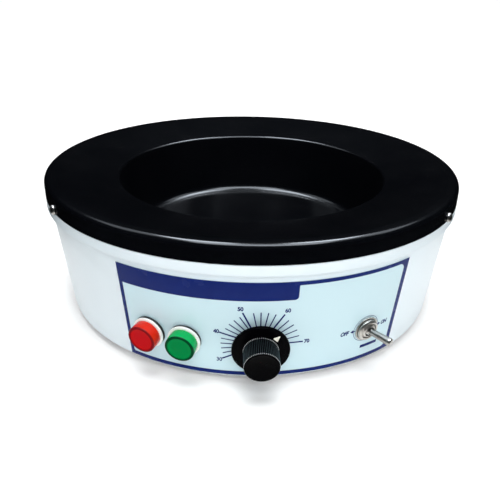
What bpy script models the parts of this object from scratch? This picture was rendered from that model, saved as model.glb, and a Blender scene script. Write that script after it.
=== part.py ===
"""Electric tissue flotation bath for a histology bench.

A black spun pan with a round bowl hangs by its turned-down rim on a white tapered housing.
The front of the housing carries a curved control label, two signal lamps, the thermostat's
dial knob and a toggle switch. A plate heater is clamped under the bowl.

The origin is on the surface the bath stands on, under the bowl's centre. The front is -Y,
+X is to the right as the user sees it, and +Z is up. All lengths are in metres.
"""

from math import atan2, ceil, cos, degrees, hypot, pi, radians, sin, tan

import bmesh
import bpy
from mathutils import Matrix, Vector

# Mesh fineness
SHELL_STEPS = 60
DISC_STEPS = 40
PART_STEPS = 24
FOOT_STEPS = 16
SMALL_STEPS = 12
FILLET_PITCH = 0.0024
FILLET_STEPS = 3
SHARP_ANGLE = radians(35)
MERGE_DISTANCE = 0.000001

# Clearances
SEAT_GAP = 0.0003
HOLE_GAP = 0.0003
OVERRUN = 0.002

# Stand and base plate
FOOT_HEIGHT = 0.0055
FOOT_RADIUS = 0.012
FOOT_TIP_RADIUS = 0.0105
FOOT_INSET = 0.0262
FOOT_ANGLES = {"front_left": -45.0, "front_right": 45.0, "rear_left": -135.0, "rear_right": 135.0}
BASE_THICK = 0.0012
BASE_LIP = 0.0017

# Housing: tapered wall, collar and the neck inside the pan's skirt
WALL_THICK = 0.0012
WALL_HEIGHT = 0.0863
WALL_TAPER = 0.0093
COLLAR_STEP = 0.0035
WALL_CORNER = 0.001
FLANGE_WIDTH = 0.0155
COLLAR_HEIGHT = 0.0085
COLLAR_UNDERCUT = 0.001
COLLAR_ROUND = 0.0012
NECK_HEIGHT = 0.007
NECK_CLEARANCE = 0.0005

# Pan: skirt, shoulder, crown, dished rim and bowl
PAN_RADIUS = 0.175
PAN_THICK = 0.0015
SKIRT_HEIGHT = 0.0142
SHOULDER_ROUND = 0.0045
CROWN_WIDTH = 0.009
CROWN_ROUND = 0.006
RIM_DISH = 0.0085
RIM_WIDTH = 0.0601
BOWL_EDGE_ROUND = 0.003
BOWL_TAPER = 0.0124
BOWL_DEPTH = 0.0546
BOWL_CORNER = 0.008

# Screws that hold the pan to the neck
PAN_SCREW_ANGLES = {"left": -57.0, "right": 57.0, "rear": 180.0}
PAN_SCREW_RISE = 0.0028
PAN_SCREW_HEAD = 0.0038
PAN_SCREW_DOME = 0.0026
PAN_SCREW_SHANK = 0.0018
PAN_SCREW_LENGTH = 0.008

# Machine screws in the base
SCREW_HEAD = 0.0038
SCREW_HEAD_HEIGHT = 0.0018
SCREW_SHANK = 0.0019
SCREW_LENGTH = 0.008
SCREW_SLOT = 0.001
SCREW_SLOT_DEPTH = 0.0009
BASE_SCREW_ANGLES = {"front": 0.0, "right": 120.0, "left": -120.0}

# Control label, a curved film on the front of the wall, its ends measured round the wall
LABEL_GAP = 0.0002
LABEL_THICK = 0.0003
LABEL_LEFT = -0.0941
LABEL_RIGHT = 0.1181
LABEL_FOOT = 0.0013
LABEL_HEIGHT = 0.0796

# Controls: height above the housing's foot, and distance from the front round the wall
CONTROL_HEIGHT = 0.0299
RED_LAMP_ARC = -0.0716
GREEN_LAMP_ARC = -0.0442
KNOB_ARC = 0.0081
SWITCH_ARC = 0.0881

# Signal lamps
LENS_RADIUS = 0.0106
LENS_LENGTH = 0.0080
LENS_WALL = 0.0014
LENS_RIM = 0.0012
LENS_INSET = 0.0004
BEZEL_RADIUS = 0.0120
BEZEL_THICK = 0.0016
GASKET_RADIUS = 0.0122
GASKET_THICK = 0.0015
BARREL_RADIUS = 0.0078
BARREL_LENGTH = 0.022
LAMP_NUT_FLATS = 0.020
LAMP_NUT_THICK = 0.003

# Dial knob
KNOB_STANDOFF = 0.0042
KNOB_SKIRT_RADIUS = 0.0200
KNOB_SKIRT_RIM = 0.0030
KNOB_SKIRT_WALL = 0.0018
KNOB_CAP_RADIUS = 0.0123
KNOB_CAP_HEIGHT = 0.0164
KNOB_FACE_CHAMFER = 0.0006
KNOB_HUB_RADIUS = 0.0065
FLUTE_COUNT = 60
FLUTE_DEPTH = 0.00035
POINTER_ANGLE = 46.5
POINTER_TIP_RADIUS = 0.0183
POINTER_LENGTH = 0.0047
POINTER_WIDTH = 0.0042
POINTER_THICK = 0.0004

# Thermostat behind the knob
SHAFT_RADIUS = 0.003
SHAFT_DEPTH = 0.012
SHAFT_FLAT = 0.0008
THERMOSTAT_WIDTH = 0.034
THERMOSTAT_DEPTH = 0.026
THERMOSTAT_PLATE = 0.0015
THERMOSTAT_BOSS_RADIUS = 0.005
THERMOSTAT_SCREW_SPACING = 0.022
DIAPHRAGM_RADIUS = 0.013
DIAPHRAGM_HEIGHT = 0.004

# Capillary bulb on the bowl's wall
SENSOR_RADIUS = 0.00325
SENSOR_LENGTH = 0.06
SENSOR_ANGLE = 38.0
SENSOR_RISE = 0.018
CAPILLARY_RADIUS = 0.0009
CAPILLARY_TURN_SHARE = 0.2

# Toggle switch
WASHER_RADIUS = 0.00975
WASHER_THICK = 0.0009
DRESS_NUT_RADIUS = 0.0085
DRESS_NUT_THICK = 0.0024
BUSHING_RADIUS = 0.0059
BUSHING_REACH = 0.0052
BUSHING_DEPTH = 0.008
BUSHING_BORE = 0.0046
SWITCH_NUT_FLATS = 0.016
SWITCH_NUT_THICK = 0.0025
SWITCH_WIDTH = 0.030
SWITCH_BREADTH = 0.018
SWITCH_DEPTH = 0.021
LEVER_PIVOT = 0.0018
LEVER_BALL = 0.0042
LEVER_REACH = 0.0205
LEVER_ROOT_RADIUS = 0.0021
LEVER_TIP_RADIUS = 0.0027
LEVER_TIP_ROUND = 0.0012
LEVER_TILT = 16.5
TERMINAL_WIDTH = 0.0063
TERMINAL_THICK = 0.0008
TERMINAL_LENGTH = 0.008
TERMINAL_SPACING = 0.015

# Heater stack under the bowl
HEATER_INSET = 0.0145
HEATER_THICK = 0.003
HEATER_HOLE = 0.0036
INSULATION_THICK = 0.008
CLAMP_LIP = 0.002
CLAMP_THICK = 0.0015
STUD_RADIUS = 0.003
STUD_NUT_FLATS = 0.010
STUD_NUT_THICK = 0.005
STUD_TAIL = 0.003

# Cable gland at the back
GLAND_ANGLE = 180.0
GLAND_HEIGHT = 0.024
GLAND_THREAD = 0.0079
GLAND_FLATS = 0.022
GLAND_FLANGE = 0.005
GLAND_NECK = 0.0075
GLAND_BORE = 0.0045
GLAND_TAIL = 0.009
GLAND_CAP_RADIUS = 0.0105
GLAND_CAP_LENGTH = 0.017
GLAND_CAP_MOUTH = 0.0046
GLAND_CAP_WALL = 0.002
GLAND_NUT_THICK = 0.004
SEAL_BORE = 0.0027

# Terminal block on the base plate
BLOCK_LENGTH = 0.046
BLOCK_BREADTH = 0.022
BLOCK_HEIGHT = 0.016
BLOCK_POLES = 4
BLOCK_ANGLE = 150.0
BLOCK_INSET = 0.0442
BLOCK_WELL_RADIUS = 0.0028
BLOCK_WELL_DEPTH = 0.005
EARTH_ANGLE = -150.0

# Inner wiring
WIRE_RADIUS = 0.00125
WIRE_STEP = 0.009
WIRE_LEAD = 0.0225
WIRE_SIDES = 6
WIRE_RAIL_SHARES = (0.2, 0.5, 0.8)
HEATER_LEAD_ANGLE = -14.0

# Radii, heights and angles that follow from the sizes above
WAIST_RADIUS = PAN_RADIUS - COLLAR_STEP
FOOT_END_RADIUS = WAIST_RADIUS - WALL_TAPER
BOWL_RADIUS = PAN_RADIUS - RIM_WIDTH
BOWL_FLOOR_RADIUS = BOWL_RADIUS - BOWL_TAPER
HEATER_RADIUS = BOWL_FLOOR_RADIUS - HEATER_INSET
CLAMP_RADIUS = HEATER_RADIUS + CLAMP_LIP
FOOT_CIRCLE = FOOT_END_RADIUS - FOOT_INSET
BLOCK_CIRCLE = FOOT_END_RADIUS - BLOCK_INSET
BODY_BOTTOM = FOOT_HEIGHT + BASE_THICK + SEAT_GAP
COLLAR_BOTTOM = BODY_BOTTOM + WALL_HEIGHT
COLLAR_TOP = COLLAR_BOTTOM + COLLAR_HEIGHT
WAIST_HEIGHT = COLLAR_BOTTOM - COLLAR_UNDERCUT
RIM_CREST = COLLAR_TOP + SKIRT_HEIGHT
BOWL_EDGE = RIM_CREST - RIM_DISH
BOWL_FLOOR = BOWL_EDGE - BOWL_DEPTH
PAN_UNDERSIDE = BOWL_FLOOR - PAN_THICK
NECK_RADIUS = PAN_RADIUS - PAN_THICK - NECK_CLEARANCE
WALL_LEAN = atan2(WAIST_RADIUS - FOOT_END_RADIUS, WAIST_HEIGHT - BODY_BOTTOM)
CONTROL_Z = BODY_BOTTOM + CONTROL_HEIGHT
LABEL_TOP = LABEL_GAP + LABEL_THICK
FLANGE_RADIUS = FOOT_END_RADIUS - FLANGE_WIDTH
FLANGE_SCREW_CIRCLE = FOOT_END_RADIUS - FLANGE_WIDTH / 2
CONTROL_RADIUS = (
    FOOT_END_RADIUS + WALL_TAPER * (CONTROL_Z - BODY_BOTTOM) / (WAIST_HEIGHT - BODY_BOTTOM)
)
KNOB_ANGLE = degrees(KNOB_ARC / CONTROL_RADIUS)
SWITCH_ANGLE = degrees(SWITCH_ARC / CONTROL_RADIUS)

MATERIALS = {
    "black_enamel": ("0B0C10", 0.28, 0.0),
    "white_powder_coat": ("E9EFF3", 0.38, 0.0),
    "label_film": ("D0E9EE", 0.35, 0.0),
    "bright_chrome": ("D9DADC", 0.12, 1.0),
    "nickel_plate": ("C2BEB6", 0.22, 1.0),
    "zinc_steel": ("B4B6B8", 0.35, 1.0),
    "red_lens": ("D8262A", 0.12, 0.0),
    "green_lens": ("0E9B50", 0.12, 0.0),
    "white_nylon": ("F4F5F3", 0.40, 0.0),
    "black_rubber": ("141416", 0.65, 0.0),
    "black_phenolic": ("0A0A0B", 0.34, 0.0),
    "pointer_white": ("F3F1E6", 0.45, 0.0),
    "brown_phenolic": ("3A2418", 0.45, 0.0),
    "copper": ("B87350", 0.30, 1.0),
    "mica_board": ("B9AD92", 0.60, 0.0),
    "glass_wool": ("E3D9A6", 0.95, 0.0),
    "brass": ("C9A24B", 0.28, 1.0),
    "wire_red": ("B3262B", 0.45, 0.0),
    "wire_black": ("1B1B1D", 0.45, 0.0),
    "wire_blue": ("23479C", 0.45, 0.0),
}


# Materials and scene

def linear(channel):
    """One sRGB channel, 0 to 1, as linear light."""
    if channel <= 0.04045:
        return channel / 12.92
    return ((channel + 0.055) / 1.055) ** 2.4


def material(name):
    """The named finish, made the first time that it is asked for."""
    known = bpy.data.materials.get(name)
    if known:
        return known
    code, roughness, metallic = MATERIALS[name]
    colour = [linear(int(code[i:i + 2], 16) / 255) for i in (0, 2, 4)]
    made = bpy.data.materials.new(name)
    made.use_nodes = True
    shader = made.node_tree.nodes["Principled BSDF"]
    shader.inputs["Base Color"].default_value = (*colour, 1.0)
    shader.inputs["Roughness"].default_value = roughness
    shader.inputs["Metallic"].default_value = metallic
    made.diffuse_color = (*colour, 1.0)
    return made


def clear_scene():
    """Start from an empty scene."""
    for old in list(bpy.data.objects):
        bpy.data.objects.remove(old, do_unlink=True)


def add_object(name, bm, finish, parent=None, place=None):
    """Turn a bmesh into a named object with its finish, smooth on its round faces."""
    bmesh.ops.recalc_face_normals(bm, faces=bm.faces)
    mesh = bpy.data.meshes.new(name)
    bm.to_mesh(mesh)
    bm.free()
    mesh.shade_smooth()
    mesh.set_sharp_from_angle(angle=SHARP_ANGLE)
    if finish:
        mesh.materials.append(material(finish))
    made = bpy.data.objects.new(name, mesh)
    bpy.context.scene.collection.objects.link(made)
    made.parent = parent
    if place is not None:
        made.matrix_local = place
    return made


def add_empty(name, place):
    """An axis or a station that pieces are placed on."""
    made = bpy.data.objects.new(name, None)
    made.empty_display_size = SHAFT_RADIUS
    made.matrix_local = place
    bpy.context.scene.collection.objects.link(made)
    bpy.context.view_layer.update()
    return made


def hide_tool(tool):
    """Mark an object that only cuts or joins."""
    tool.hide_render = True
    tool.hide_viewport = True
    tool.display_type = "WIRE"
    return tool


def boolean(target, tool, operation):
    """Cut the tool out of the target, or join it on."""
    change = target.modifiers.new(operation.lower(), "BOOLEAN")
    change.operation = operation
    change.solver = "EXACT"
    change.object = hide_tool(tool)
    return target


# Outlines, as lists of (radius, height) or (x, y) points

def fillet(before, corner, after, radius):
    """The points of a round corner, or the corner itself where its radius is zero."""
    a = Vector(before) - Vector(corner)
    b = Vector(after) - Vector(corner)
    if radius <= 0 or a.length == 0 or b.length == 0:
        return [tuple(corner)]
    half = a.angle(b) / 2
    reach = min(radius / tan(half), 0.49 * a.length, 0.49 * b.length)
    radius = reach * tan(half)
    centre = Vector(corner) + (a.normalized() + b.normalized()).normalized() * (radius / sin(half))
    start = Vector(corner) + a.normalized() * reach - centre
    end = Vector(corner) + b.normalized() * reach - centre
    sweep = start.angle_signed(end)
    steps = min(max(round(radius * abs(sweep) / FILLET_PITCH), 1), FILLET_STEPS)
    points = []
    for i in range(steps + 1):
        turn = -sweep * i / steps
        points.append((
            centre.x + start.x * cos(turn) - start.y * sin(turn),
            centre.y + start.x * sin(turn) + start.y * cos(turn),
        ))
    return points


def rounded(corners, closed=True):
    """An outline from corners (x, y, radius), with each corner rounded."""
    points = []
    count = len(corners)
    for i, (x, y, radius) in enumerate(corners):
        if not closed and i in (0, count - 1):
            points.append((x, y))
            continue
        before = corners[i - 1][:2]
        after = corners[(i + 1) % count][:2]
        points.extend(fillet(before, (x, y), after, radius))
    return points


def offset_corners(corners, distance):
    """The corners of an open path, moved to its right by a distance, with matching radii."""
    moved = []
    for i, (x, y, radius) in enumerate(corners):
        here = Vector((x, y))
        sides = []
        if i > 0:
            sides.append((here - Vector(corners[i - 1][:2])).normalized())
        if i < len(corners) - 1:
            sides.append((Vector(corners[i + 1][:2]) - here).normalized())
        normals = [Vector((s.y, -s.x)) for s in sides]
        if len(normals) == 1:
            shift = normals[0] * distance
        else:
            middle = (normals[0] + normals[1]).normalized()
            shift = middle * (distance / middle.dot(normals[0]))
            turn = sides[0].x * sides[1].y - sides[0].y * sides[1].x
            radius += distance if turn > 0 else -distance
        moved.append((x + shift.x, y + shift.y, max(radius, 0.0)))
    return moved


def sheet(corners, thickness):
    """The closed outline of a formed sheet whose visible side follows the corners."""
    front = rounded(corners, closed=False)
    back = rounded(offset_corners(corners, thickness), closed=False)
    return front + back[::-1]


def ring(inner, outer, bottom, top, edge=0.0):
    """The outline of a plain ring or sleeve, with its outer edges broken."""
    return rounded([
        (inner, bottom, 0.0),
        (outer, bottom, edge),
        (outer, top, edge),
        (inner, top, 0.0),
    ])


def circle(radius, steps=PART_STEPS):
    """A round outline whose points lie to both sides of each axis."""
    turns = [2 * pi * (i + 0.5) / steps for i in range(steps)]
    return [(radius * cos(turn), radius * sin(turn)) for turn in turns]


def hexagon(flats):
    """A hexagon by its width across flats."""
    return circle(flats / 2 / cos(pi / 6), 6)


def rectangle(width, height, corner=0.0):
    x, y = width / 2, height / 2
    return rounded([(-x, -y, corner), (x, -y, corner), (x, y, corner), (-x, y, corner)])


# Solids

def turned_mesh(outline, steps=PART_STEPS):
    """A closed outline in (radius, height), spun about Z."""
    bm = bmesh.new()
    verts = [bm.verts.new((r, 0.0, z)) for r, z in outline]
    edges = []
    for i, vert in enumerate(verts):
        after = verts[(i + 1) % len(verts)]
        if vert.co.x > 0 or after.co.x > 0:
            edges.append(bm.edges.new((vert, after)))
    bmesh.ops.spin(
        bm, geom=verts + edges, cent=(0, 0, 0), axis=(0, 0, 1),
        angle=2 * pi, steps=steps, use_merge=True,
    )
    on_axis = [v for v in bm.verts if hypot(v.co.x, v.co.y) < MERGE_DISTANCE]
    bmesh.ops.remove_doubles(bm, verts=on_axis, dist=MERGE_DISTANCE)
    bmesh.ops.dissolve_degenerate(bm, edges=bm.edges, dist=MERGE_DISTANCE)
    return bm


def prism_mesh(outline, bottom, top):
    """An outline in (x, y), raised from one height to another."""
    bm = bmesh.new()
    floor = bm.faces.new([bm.verts.new((x, y, bottom)) for x, y in outline])
    raised = bmesh.ops.extrude_face_region(bm, geom=[floor])
    top_verts = [v for v in raised["geom"] if isinstance(v, bmesh.types.BMVert)]
    bmesh.ops.translate(bm, verts=top_verts, vec=(0, 0, top - bottom))
    return bm


def turned(name, outline, finish=None, parent=None, place=None, steps=PART_STEPS):
    return add_object(name, turned_mesh(outline, steps), finish, parent, place)


def prism(name, outline, bottom, top, finish=None, parent=None, place=None):
    return add_object(name, prism_mesh(outline, bottom, top), finish, parent, place)


def drill(target, radius, bottom, top, parent=None, place=None, steps=PART_STEPS):
    """Cut a round hole along the parent's Z."""
    tool = prism(target.name + "_drill", circle(radius, steps), bottom, top, None, parent, place)
    return boolean(target, tool, "DIFFERENCE")


def screw_outline(head, dome, shank, length):
    """A domed screw: its head above zero, and its shank with a pointed end below."""
    steps = 3
    cap = [
        (head * cos(i * pi / 2 / steps), dome * sin(i * pi / 2 / steps))
        for i in range(steps)
    ]
    return [(0.0, -length), (shank, shank - length), (shank, 0.0)] + cap + [(0.0, dome)]


def hex_nut(name, flats, thick, bore, bottom, finish, parent):
    """A plain hexagon nut with its lower face at the given height."""
    made = prism(name, hexagon(flats), bottom, bottom + thick, finish, parent)
    return drill(made, bore, bottom - OVERRUN, bottom + thick + OVERRUN, parent)


# Places

def wall_radius(height):
    """The outer radius of the tapered wall at a height above the ground."""
    share = (height - BODY_BOTTOM) / (WAIST_HEIGHT - BODY_BOTTOM)
    return FOOT_END_RADIUS + (WAIST_RADIUS - FOOT_END_RADIUS) * share


def polar(radius, degrees_from_front, height):
    """A point by its angle from the front, positive to the user's right."""
    turn = radians(degrees_from_front)
    return Vector((radius * sin(turn), -radius * cos(turn), height))


def panel_station(degrees_from_front, height):
    """A frame on the wall's outside: X to the right, Y up the wall and Z straight out."""
    turn = radians(degrees_from_front)
    right = Vector((cos(turn), sin(turn), 0.0))
    flat_out = Vector((sin(turn), -cos(turn), 0.0))
    out = flat_out * cos(WALL_LEAN) + Vector((0, 0, -sin(WALL_LEAN)))
    up = out.cross(right)
    place = Matrix((right, up, out)).transposed().to_4x4()
    place.translation = polar(wall_radius(height), degrees_from_front, height)
    return place


def control_station(arc):
    """A frame at the controls' height, by its distance from the front round the wall."""
    return panel_station(degrees(arc / CONTROL_RADIUS), CONTROL_Z)


def radial_station(degrees_from_front, radius, height):
    """A frame whose Z points straight out from the bowl's axis."""
    turn = radians(degrees_from_front)
    right = Vector((cos(turn), sin(turn), 0.0))
    out = Vector((sin(turn), -cos(turn), 0.0))
    place = Matrix((right, Vector((0, 0, 1)), out)).transposed().to_4x4()
    place.translation = polar(radius, degrees_from_front, height)
    return place


def wall_sag(half_width):
    """How far the round wall falls back from its tangent at a distance to the side."""
    return CONTROL_RADIUS - (CONTROL_RADIUS ** 2 - half_width ** 2) ** 0.5


def inside_face(half_width):
    """The depth at which a flat piece of this half width seats behind the wall."""
    return -(WALL_THICK + wall_sag(half_width) + SEAT_GAP)


# Pan and housing

def pan_corners():
    crown_inner = PAN_RADIUS - CROWN_WIDTH
    return [
        (PAN_RADIUS, COLLAR_TOP + SEAT_GAP, 0.0),
        (PAN_RADIUS, RIM_CREST, SHOULDER_ROUND),
        (crown_inner, RIM_CREST, CROWN_ROUND),
        (BOWL_RADIUS, BOWL_EDGE, BOWL_EDGE_ROUND),
        (BOWL_FLOOR_RADIUS, BOWL_FLOOR, BOWL_CORNER),
        (0.0, BOWL_FLOOR, 0.0),
    ]


def make_pan():
    """The spun pan, with slots in its skirt that drop over the screws."""
    outline = sheet(pan_corners()[::-1], PAN_THICK)
    pan = turned("bowl_pan", outline, "black_enamel", steps=SHELL_STEPS)
    reach = PAN_SCREW_HEAD
    for side, angle in PAN_SCREW_ANGLES.items():
        place = radial_station(angle, PAN_RADIUS, COLLAR_TOP + PAN_SCREW_RISE)
        half = PAN_SCREW_SHANK + HOLE_GAP
        slot = [(half * cos(i * pi / 6), half * sin(i * pi / 6)) for i in range(7)]
        slot += [(-half, -PAN_SCREW_RISE - OVERRUN), (half, -PAN_SCREW_RISE - OVERRUN)]
        tool = prism("pan_slot_" + side, slot, -reach, reach, None, None, place)
        boolean(pan, tool, "DIFFERENCE")
    return pan


def housing_corners():
    return [
        (NECK_RADIUS, COLLAR_TOP + NECK_HEIGHT, 0.0),
        (NECK_RADIUS, COLLAR_TOP, 0.0),
        (PAN_RADIUS, COLLAR_TOP, COLLAR_ROUND),
        (PAN_RADIUS, COLLAR_BOTTOM, COLLAR_ROUND),
        (WAIST_RADIUS, WAIST_HEIGHT, COLLAR_ROUND),
        (FOOT_END_RADIUS, BODY_BOTTOM, WALL_CORNER),
        (FLANGE_RADIUS, BODY_BOTTOM, 0.0),
    ]


def make_housing(stations):
    """The white body: neck, collar, tapered wall and foot flange in one sheet."""
    outline = sheet(housing_corners(), WALL_THICK)
    housing = turned("housing", outline, "white_powder_coat", steps=SHELL_STEPS)
    through = WALL_THICK + OVERRUN
    for name in ("red", "green"):
        drill(housing, BARREL_RADIUS + HOLE_GAP, -through, through, stations[name])
    drill(housing, THERMOSTAT_BOSS_RADIUS + HOLE_GAP, -through, through, stations["knob"])
    for side in (-1, 1):
        place = Matrix.Translation((side * THERMOSTAT_SCREW_SPACING / 2, 0, 0))
        drill(housing, PAN_SCREW_SHANK + HOLE_GAP, -through, through, stations["knob"], place,
              SMALL_STEPS)
    drill(housing, BUSHING_RADIUS + HOLE_GAP, -through, through, stations["switch"])
    drill(housing, GLAND_THREAD + HOLE_GAP, -through, through, stations["gland"])
    for angle in PAN_SCREW_ANGLES.values():
        place = radial_station(angle, NECK_RADIUS, COLLAR_TOP + PAN_SCREW_RISE)
        drill(housing, PAN_SCREW_SHANK + HOLE_GAP, -through, through, None, place, SMALL_STEPS)
    for place in base_screw_places().values():
        drill(housing, SCREW_SHANK + HOLE_GAP, 0.0, SCREW_LENGTH, None, place, SMALL_STEPS)
    return housing


def make_pan_screws():
    for side, angle in PAN_SCREW_ANGLES.items():
        place = radial_station(angle, PAN_RADIUS + SEAT_GAP, COLLAR_TOP + PAN_SCREW_RISE)
        outline = screw_outline(PAN_SCREW_HEAD, PAN_SCREW_DOME, PAN_SCREW_SHANK, PAN_SCREW_LENGTH)
        turned("pan_screw_" + side, outline, "bright_chrome", None, place, SMALL_STEPS)


# Base plate, feet and their screws

def base_screw_places():
    """Frames under the flange, Z up, at the underside of the base plate."""
    return {
        side: Matrix.Translation(polar(FLANGE_SCREW_CIRCLE, angle, FOOT_HEIGHT))
        for side, angle in BASE_SCREW_ANGLES.items()
    }


def foot_places():
    """Frames on the ground under each foot, Z up."""
    return {
        side: Matrix.Translation(polar(FOOT_CIRCLE, angle, 0.0))
        for side, angle in FOOT_ANGLES.items()
    }


def slotted_screw(name, head, height, shank, length, finish, place):
    """A cheese-head screw driven upwards, its slot underneath."""
    outline = [
        (0.0, -height),
        (head, -height),
        (head, 0.0),
        (shank, 0.0),
        (shank, length - shank),
        (0.0, length),
    ]
    made = turned(name, outline, finish, None, place, SMALL_STEPS)
    slot = rectangle(3 * head, SCREW_SLOT)
    slot_top = SCREW_SLOT_DEPTH - height
    tool = prism(name + "_slot", slot, -height - OVERRUN, slot_top, None, None, place)
    return boolean(made, tool, "DIFFERENCE")


def make_base():
    """The flat base plate, held under the flange by its screws."""
    plate_radius = FOOT_END_RADIUS - BASE_LIP
    outline = ring(0.0, plate_radius, FOOT_HEIGHT, FOOT_HEIGHT + BASE_THICK)
    plate = turned("base_plate", outline, "zinc_steel", steps=DISC_STEPS)
    hole = SCREW_SHANK + HOLE_GAP
    for place in base_screw_places().values():
        drill(plate, hole, -OVERRUN, BASE_THICK + OVERRUN, None, place, SMALL_STEPS)
    lift = Matrix.Translation((0, 0, FOOT_HEIGHT))
    for place in foot_places().values():
        drill(plate, hole, -OVERRUN, BASE_THICK + OVERRUN, None, lift @ place, SMALL_STEPS)
    drill(plate, hole, -OVERRUN, BASE_THICK + OVERRUN, None, earth_place(), SMALL_STEPS)
    drill(plate, hole, -OVERRUN, BASE_THICK + OVERRUN, None, block_frame(), SMALL_STEPS)
    for side, place in base_screw_places().items():
        seat = Matrix.Translation((0, 0, -SEAT_GAP)) @ place
        slotted_screw("base_screw_" + side, SCREW_HEAD, SCREW_HEAD_HEIGHT, SCREW_SHANK,
                      SCREW_LENGTH, "zinc_steel", seat)


def make_feet():
    """Four rubber feet, each with a sunk screw."""
    sink = SCREW_HEAD_HEIGHT + SEAT_GAP
    well = SCREW_HEAD + HOLE_GAP
    bore = SCREW_SHANK + HOLE_GAP
    top = FOOT_HEIGHT - SEAT_GAP
    outline = [
        (well, 0.0),
        (FOOT_TIP_RADIUS, 0.0),
        (FOOT_RADIUS, top),
        (bore, top),
        (bore, 2 * sink),
        (well, 2 * sink),
    ]
    for side, place in foot_places().items():
        turned("foot_" + side, outline, "black_rubber", None, place, FOOT_STEPS)
        seat = Matrix.Translation((0, 0, 2 * sink - SEAT_GAP)) @ place
        slotted_screw("foot_screw_" + side, SCREW_HEAD, SCREW_HEAD_HEIGHT, SCREW_SHANK,
                      SCREW_LENGTH, "zinc_steel", seat)


# Control label

def label_point(degrees_from_front, height, lift):
    """A point over the wall's facets, lifted straight out from them."""
    radius = wall_radius(height) + lift / cos(WALL_LEAN)
    return polar(radius, degrees_from_front, height)


def make_label(stations):
    """A curved film with holes for the lamps, the thermostat and the switch."""
    left = degrees(LABEL_LEFT / CONTROL_RADIUS)
    right = degrees(LABEL_RIGHT / CONTROL_RADIUS)
    pitch = 360 / SHELL_STEPS
    first = ceil(left / pitch)
    columns = [left]
    while first * pitch < right:
        columns.append(first * pitch)
        first += 1
    columns.append(right)
    low = BODY_BOTTOM + LABEL_FOOT
    high = low + LABEL_HEIGHT
    bm = bmesh.new()
    loops = []
    for angle in columns:
        corners = ((low, LABEL_GAP), (low, LABEL_TOP), (high, LABEL_TOP), (high, LABEL_GAP))
        loops.append([bm.verts.new(label_point(angle, z, lift)) for z, lift in corners])
    for one, other in zip(loops, loops[1:]):
        for i in range(4):
            j = (i + 1) % 4
            bm.faces.new((one[i], one[j], other[j], other[i]))
    bm.faces.new(loops[0])
    bm.faces.new(loops[-1])
    label = add_object("control_label", bm, "label_film")
    for name in ("red", "green"):
        drill(label, BARREL_RADIUS + HOLE_GAP, -OVERRUN, OVERRUN, stations[name])
    drill(label, THERMOSTAT_SCREW_SPACING / 2 + SCREW_HEAD, -OVERRUN, OVERRUN, stations["knob"])
    drill(label, BUSHING_RADIUS + HOLE_GAP, -OVERRUN, OVERRUN, stations["switch"])


# Signal lamps

def wall_envelope():
    """A solid that stands one seat gap proud of the label, to shape what seats on it."""
    lift = (LABEL_TOP + SEAT_GAP) / cos(WALL_LEAN)
    low = BODY_BOTTOM
    outline = [
        (0.0, low),
        (wall_radius(low) + lift, low),
        (wall_radius(WAIST_HEIGHT) + lift, WAIST_HEIGHT),
        (0.0, WAIST_HEIGHT),
    ]
    return hide_tool(turned("wall_envelope", outline, steps=SHELL_STEPS))


def make_lamp(colour, station, envelope):
    """Lens, threaded body with its white bezel, rubber gasket and nut."""
    prefix = "lamp_" + colour + "_"
    seat = LABEL_TOP + SEAT_GAP
    gasket_top = seat + GASKET_THICK
    bore = BARREL_RADIUS + HOLE_GAP
    gasket = turned(prefix + "gasket", ring(bore, GASKET_RADIUS, -seat, gasket_top, SEAT_GAP),
                    "black_rubber", station)
    boolean(gasket, envelope, "DIFFERENCE")

    bezel_bottom = gasket_top + SEAT_GAP
    bezel_top = bezel_bottom + BEZEL_THICK
    bezel_edge = BEZEL_THICK / 4
    body = rounded([
        (0.0, -BARREL_LENGTH, 0.0),
        (BARREL_RADIUS, -BARREL_LENGTH, bezel_edge),
        (BARREL_RADIUS, bezel_bottom, 0.0),
        (BEZEL_RADIUS, bezel_bottom, bezel_edge),
        (BEZEL_RADIUS, bezel_top, bezel_edge),
        (0.0, bezel_top, 0.0),
    ])
    turned(prefix + "body", body, "white_nylon", station)

    lens_bottom = bezel_top + SEAT_GAP
    lens_top = lens_bottom + LENS_LENGTH
    face = LENS_RADIUS - LENS_RIM
    hollow = LENS_RADIUS - LENS_WALL
    lens = rounded([
        (hollow, lens_bottom, 0.0),
        (LENS_RADIUS, lens_bottom, 0.0),
        (LENS_RADIUS, lens_top, LENS_RIM / 2),
        (face, lens_top, LENS_INSET / 2),
        (face - LENS_INSET, lens_top - LENS_INSET, 0.0),
        (0.0, lens_top - LENS_INSET, 0.0),
        (0.0, lens_top - LENS_INSET - LENS_WALL, 0.0),
        (hollow, lens_top - LENS_INSET - LENS_WALL, LENS_RIM / 2),
    ])
    turned(prefix + "lens", lens, colour + "_lens", station)

    nut_top = inside_face(LAMP_NUT_FLATS / 2 / cos(pi / 6))
    hex_nut(prefix + "nut", LAMP_NUT_FLATS, LAMP_NUT_THICK, bore, nut_top - LAMP_NUT_THICK,
            "white_nylon", station)


# Knob and thermostat

def knob_levels():
    """Heights of the skirt's back, its face and the cap's face above the wall."""
    back = LABEL_TOP + KNOB_STANDOFF
    face = back + KNOB_SKIRT_RIM
    return back, face, face + KNOB_CAP_HEIGHT


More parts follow.
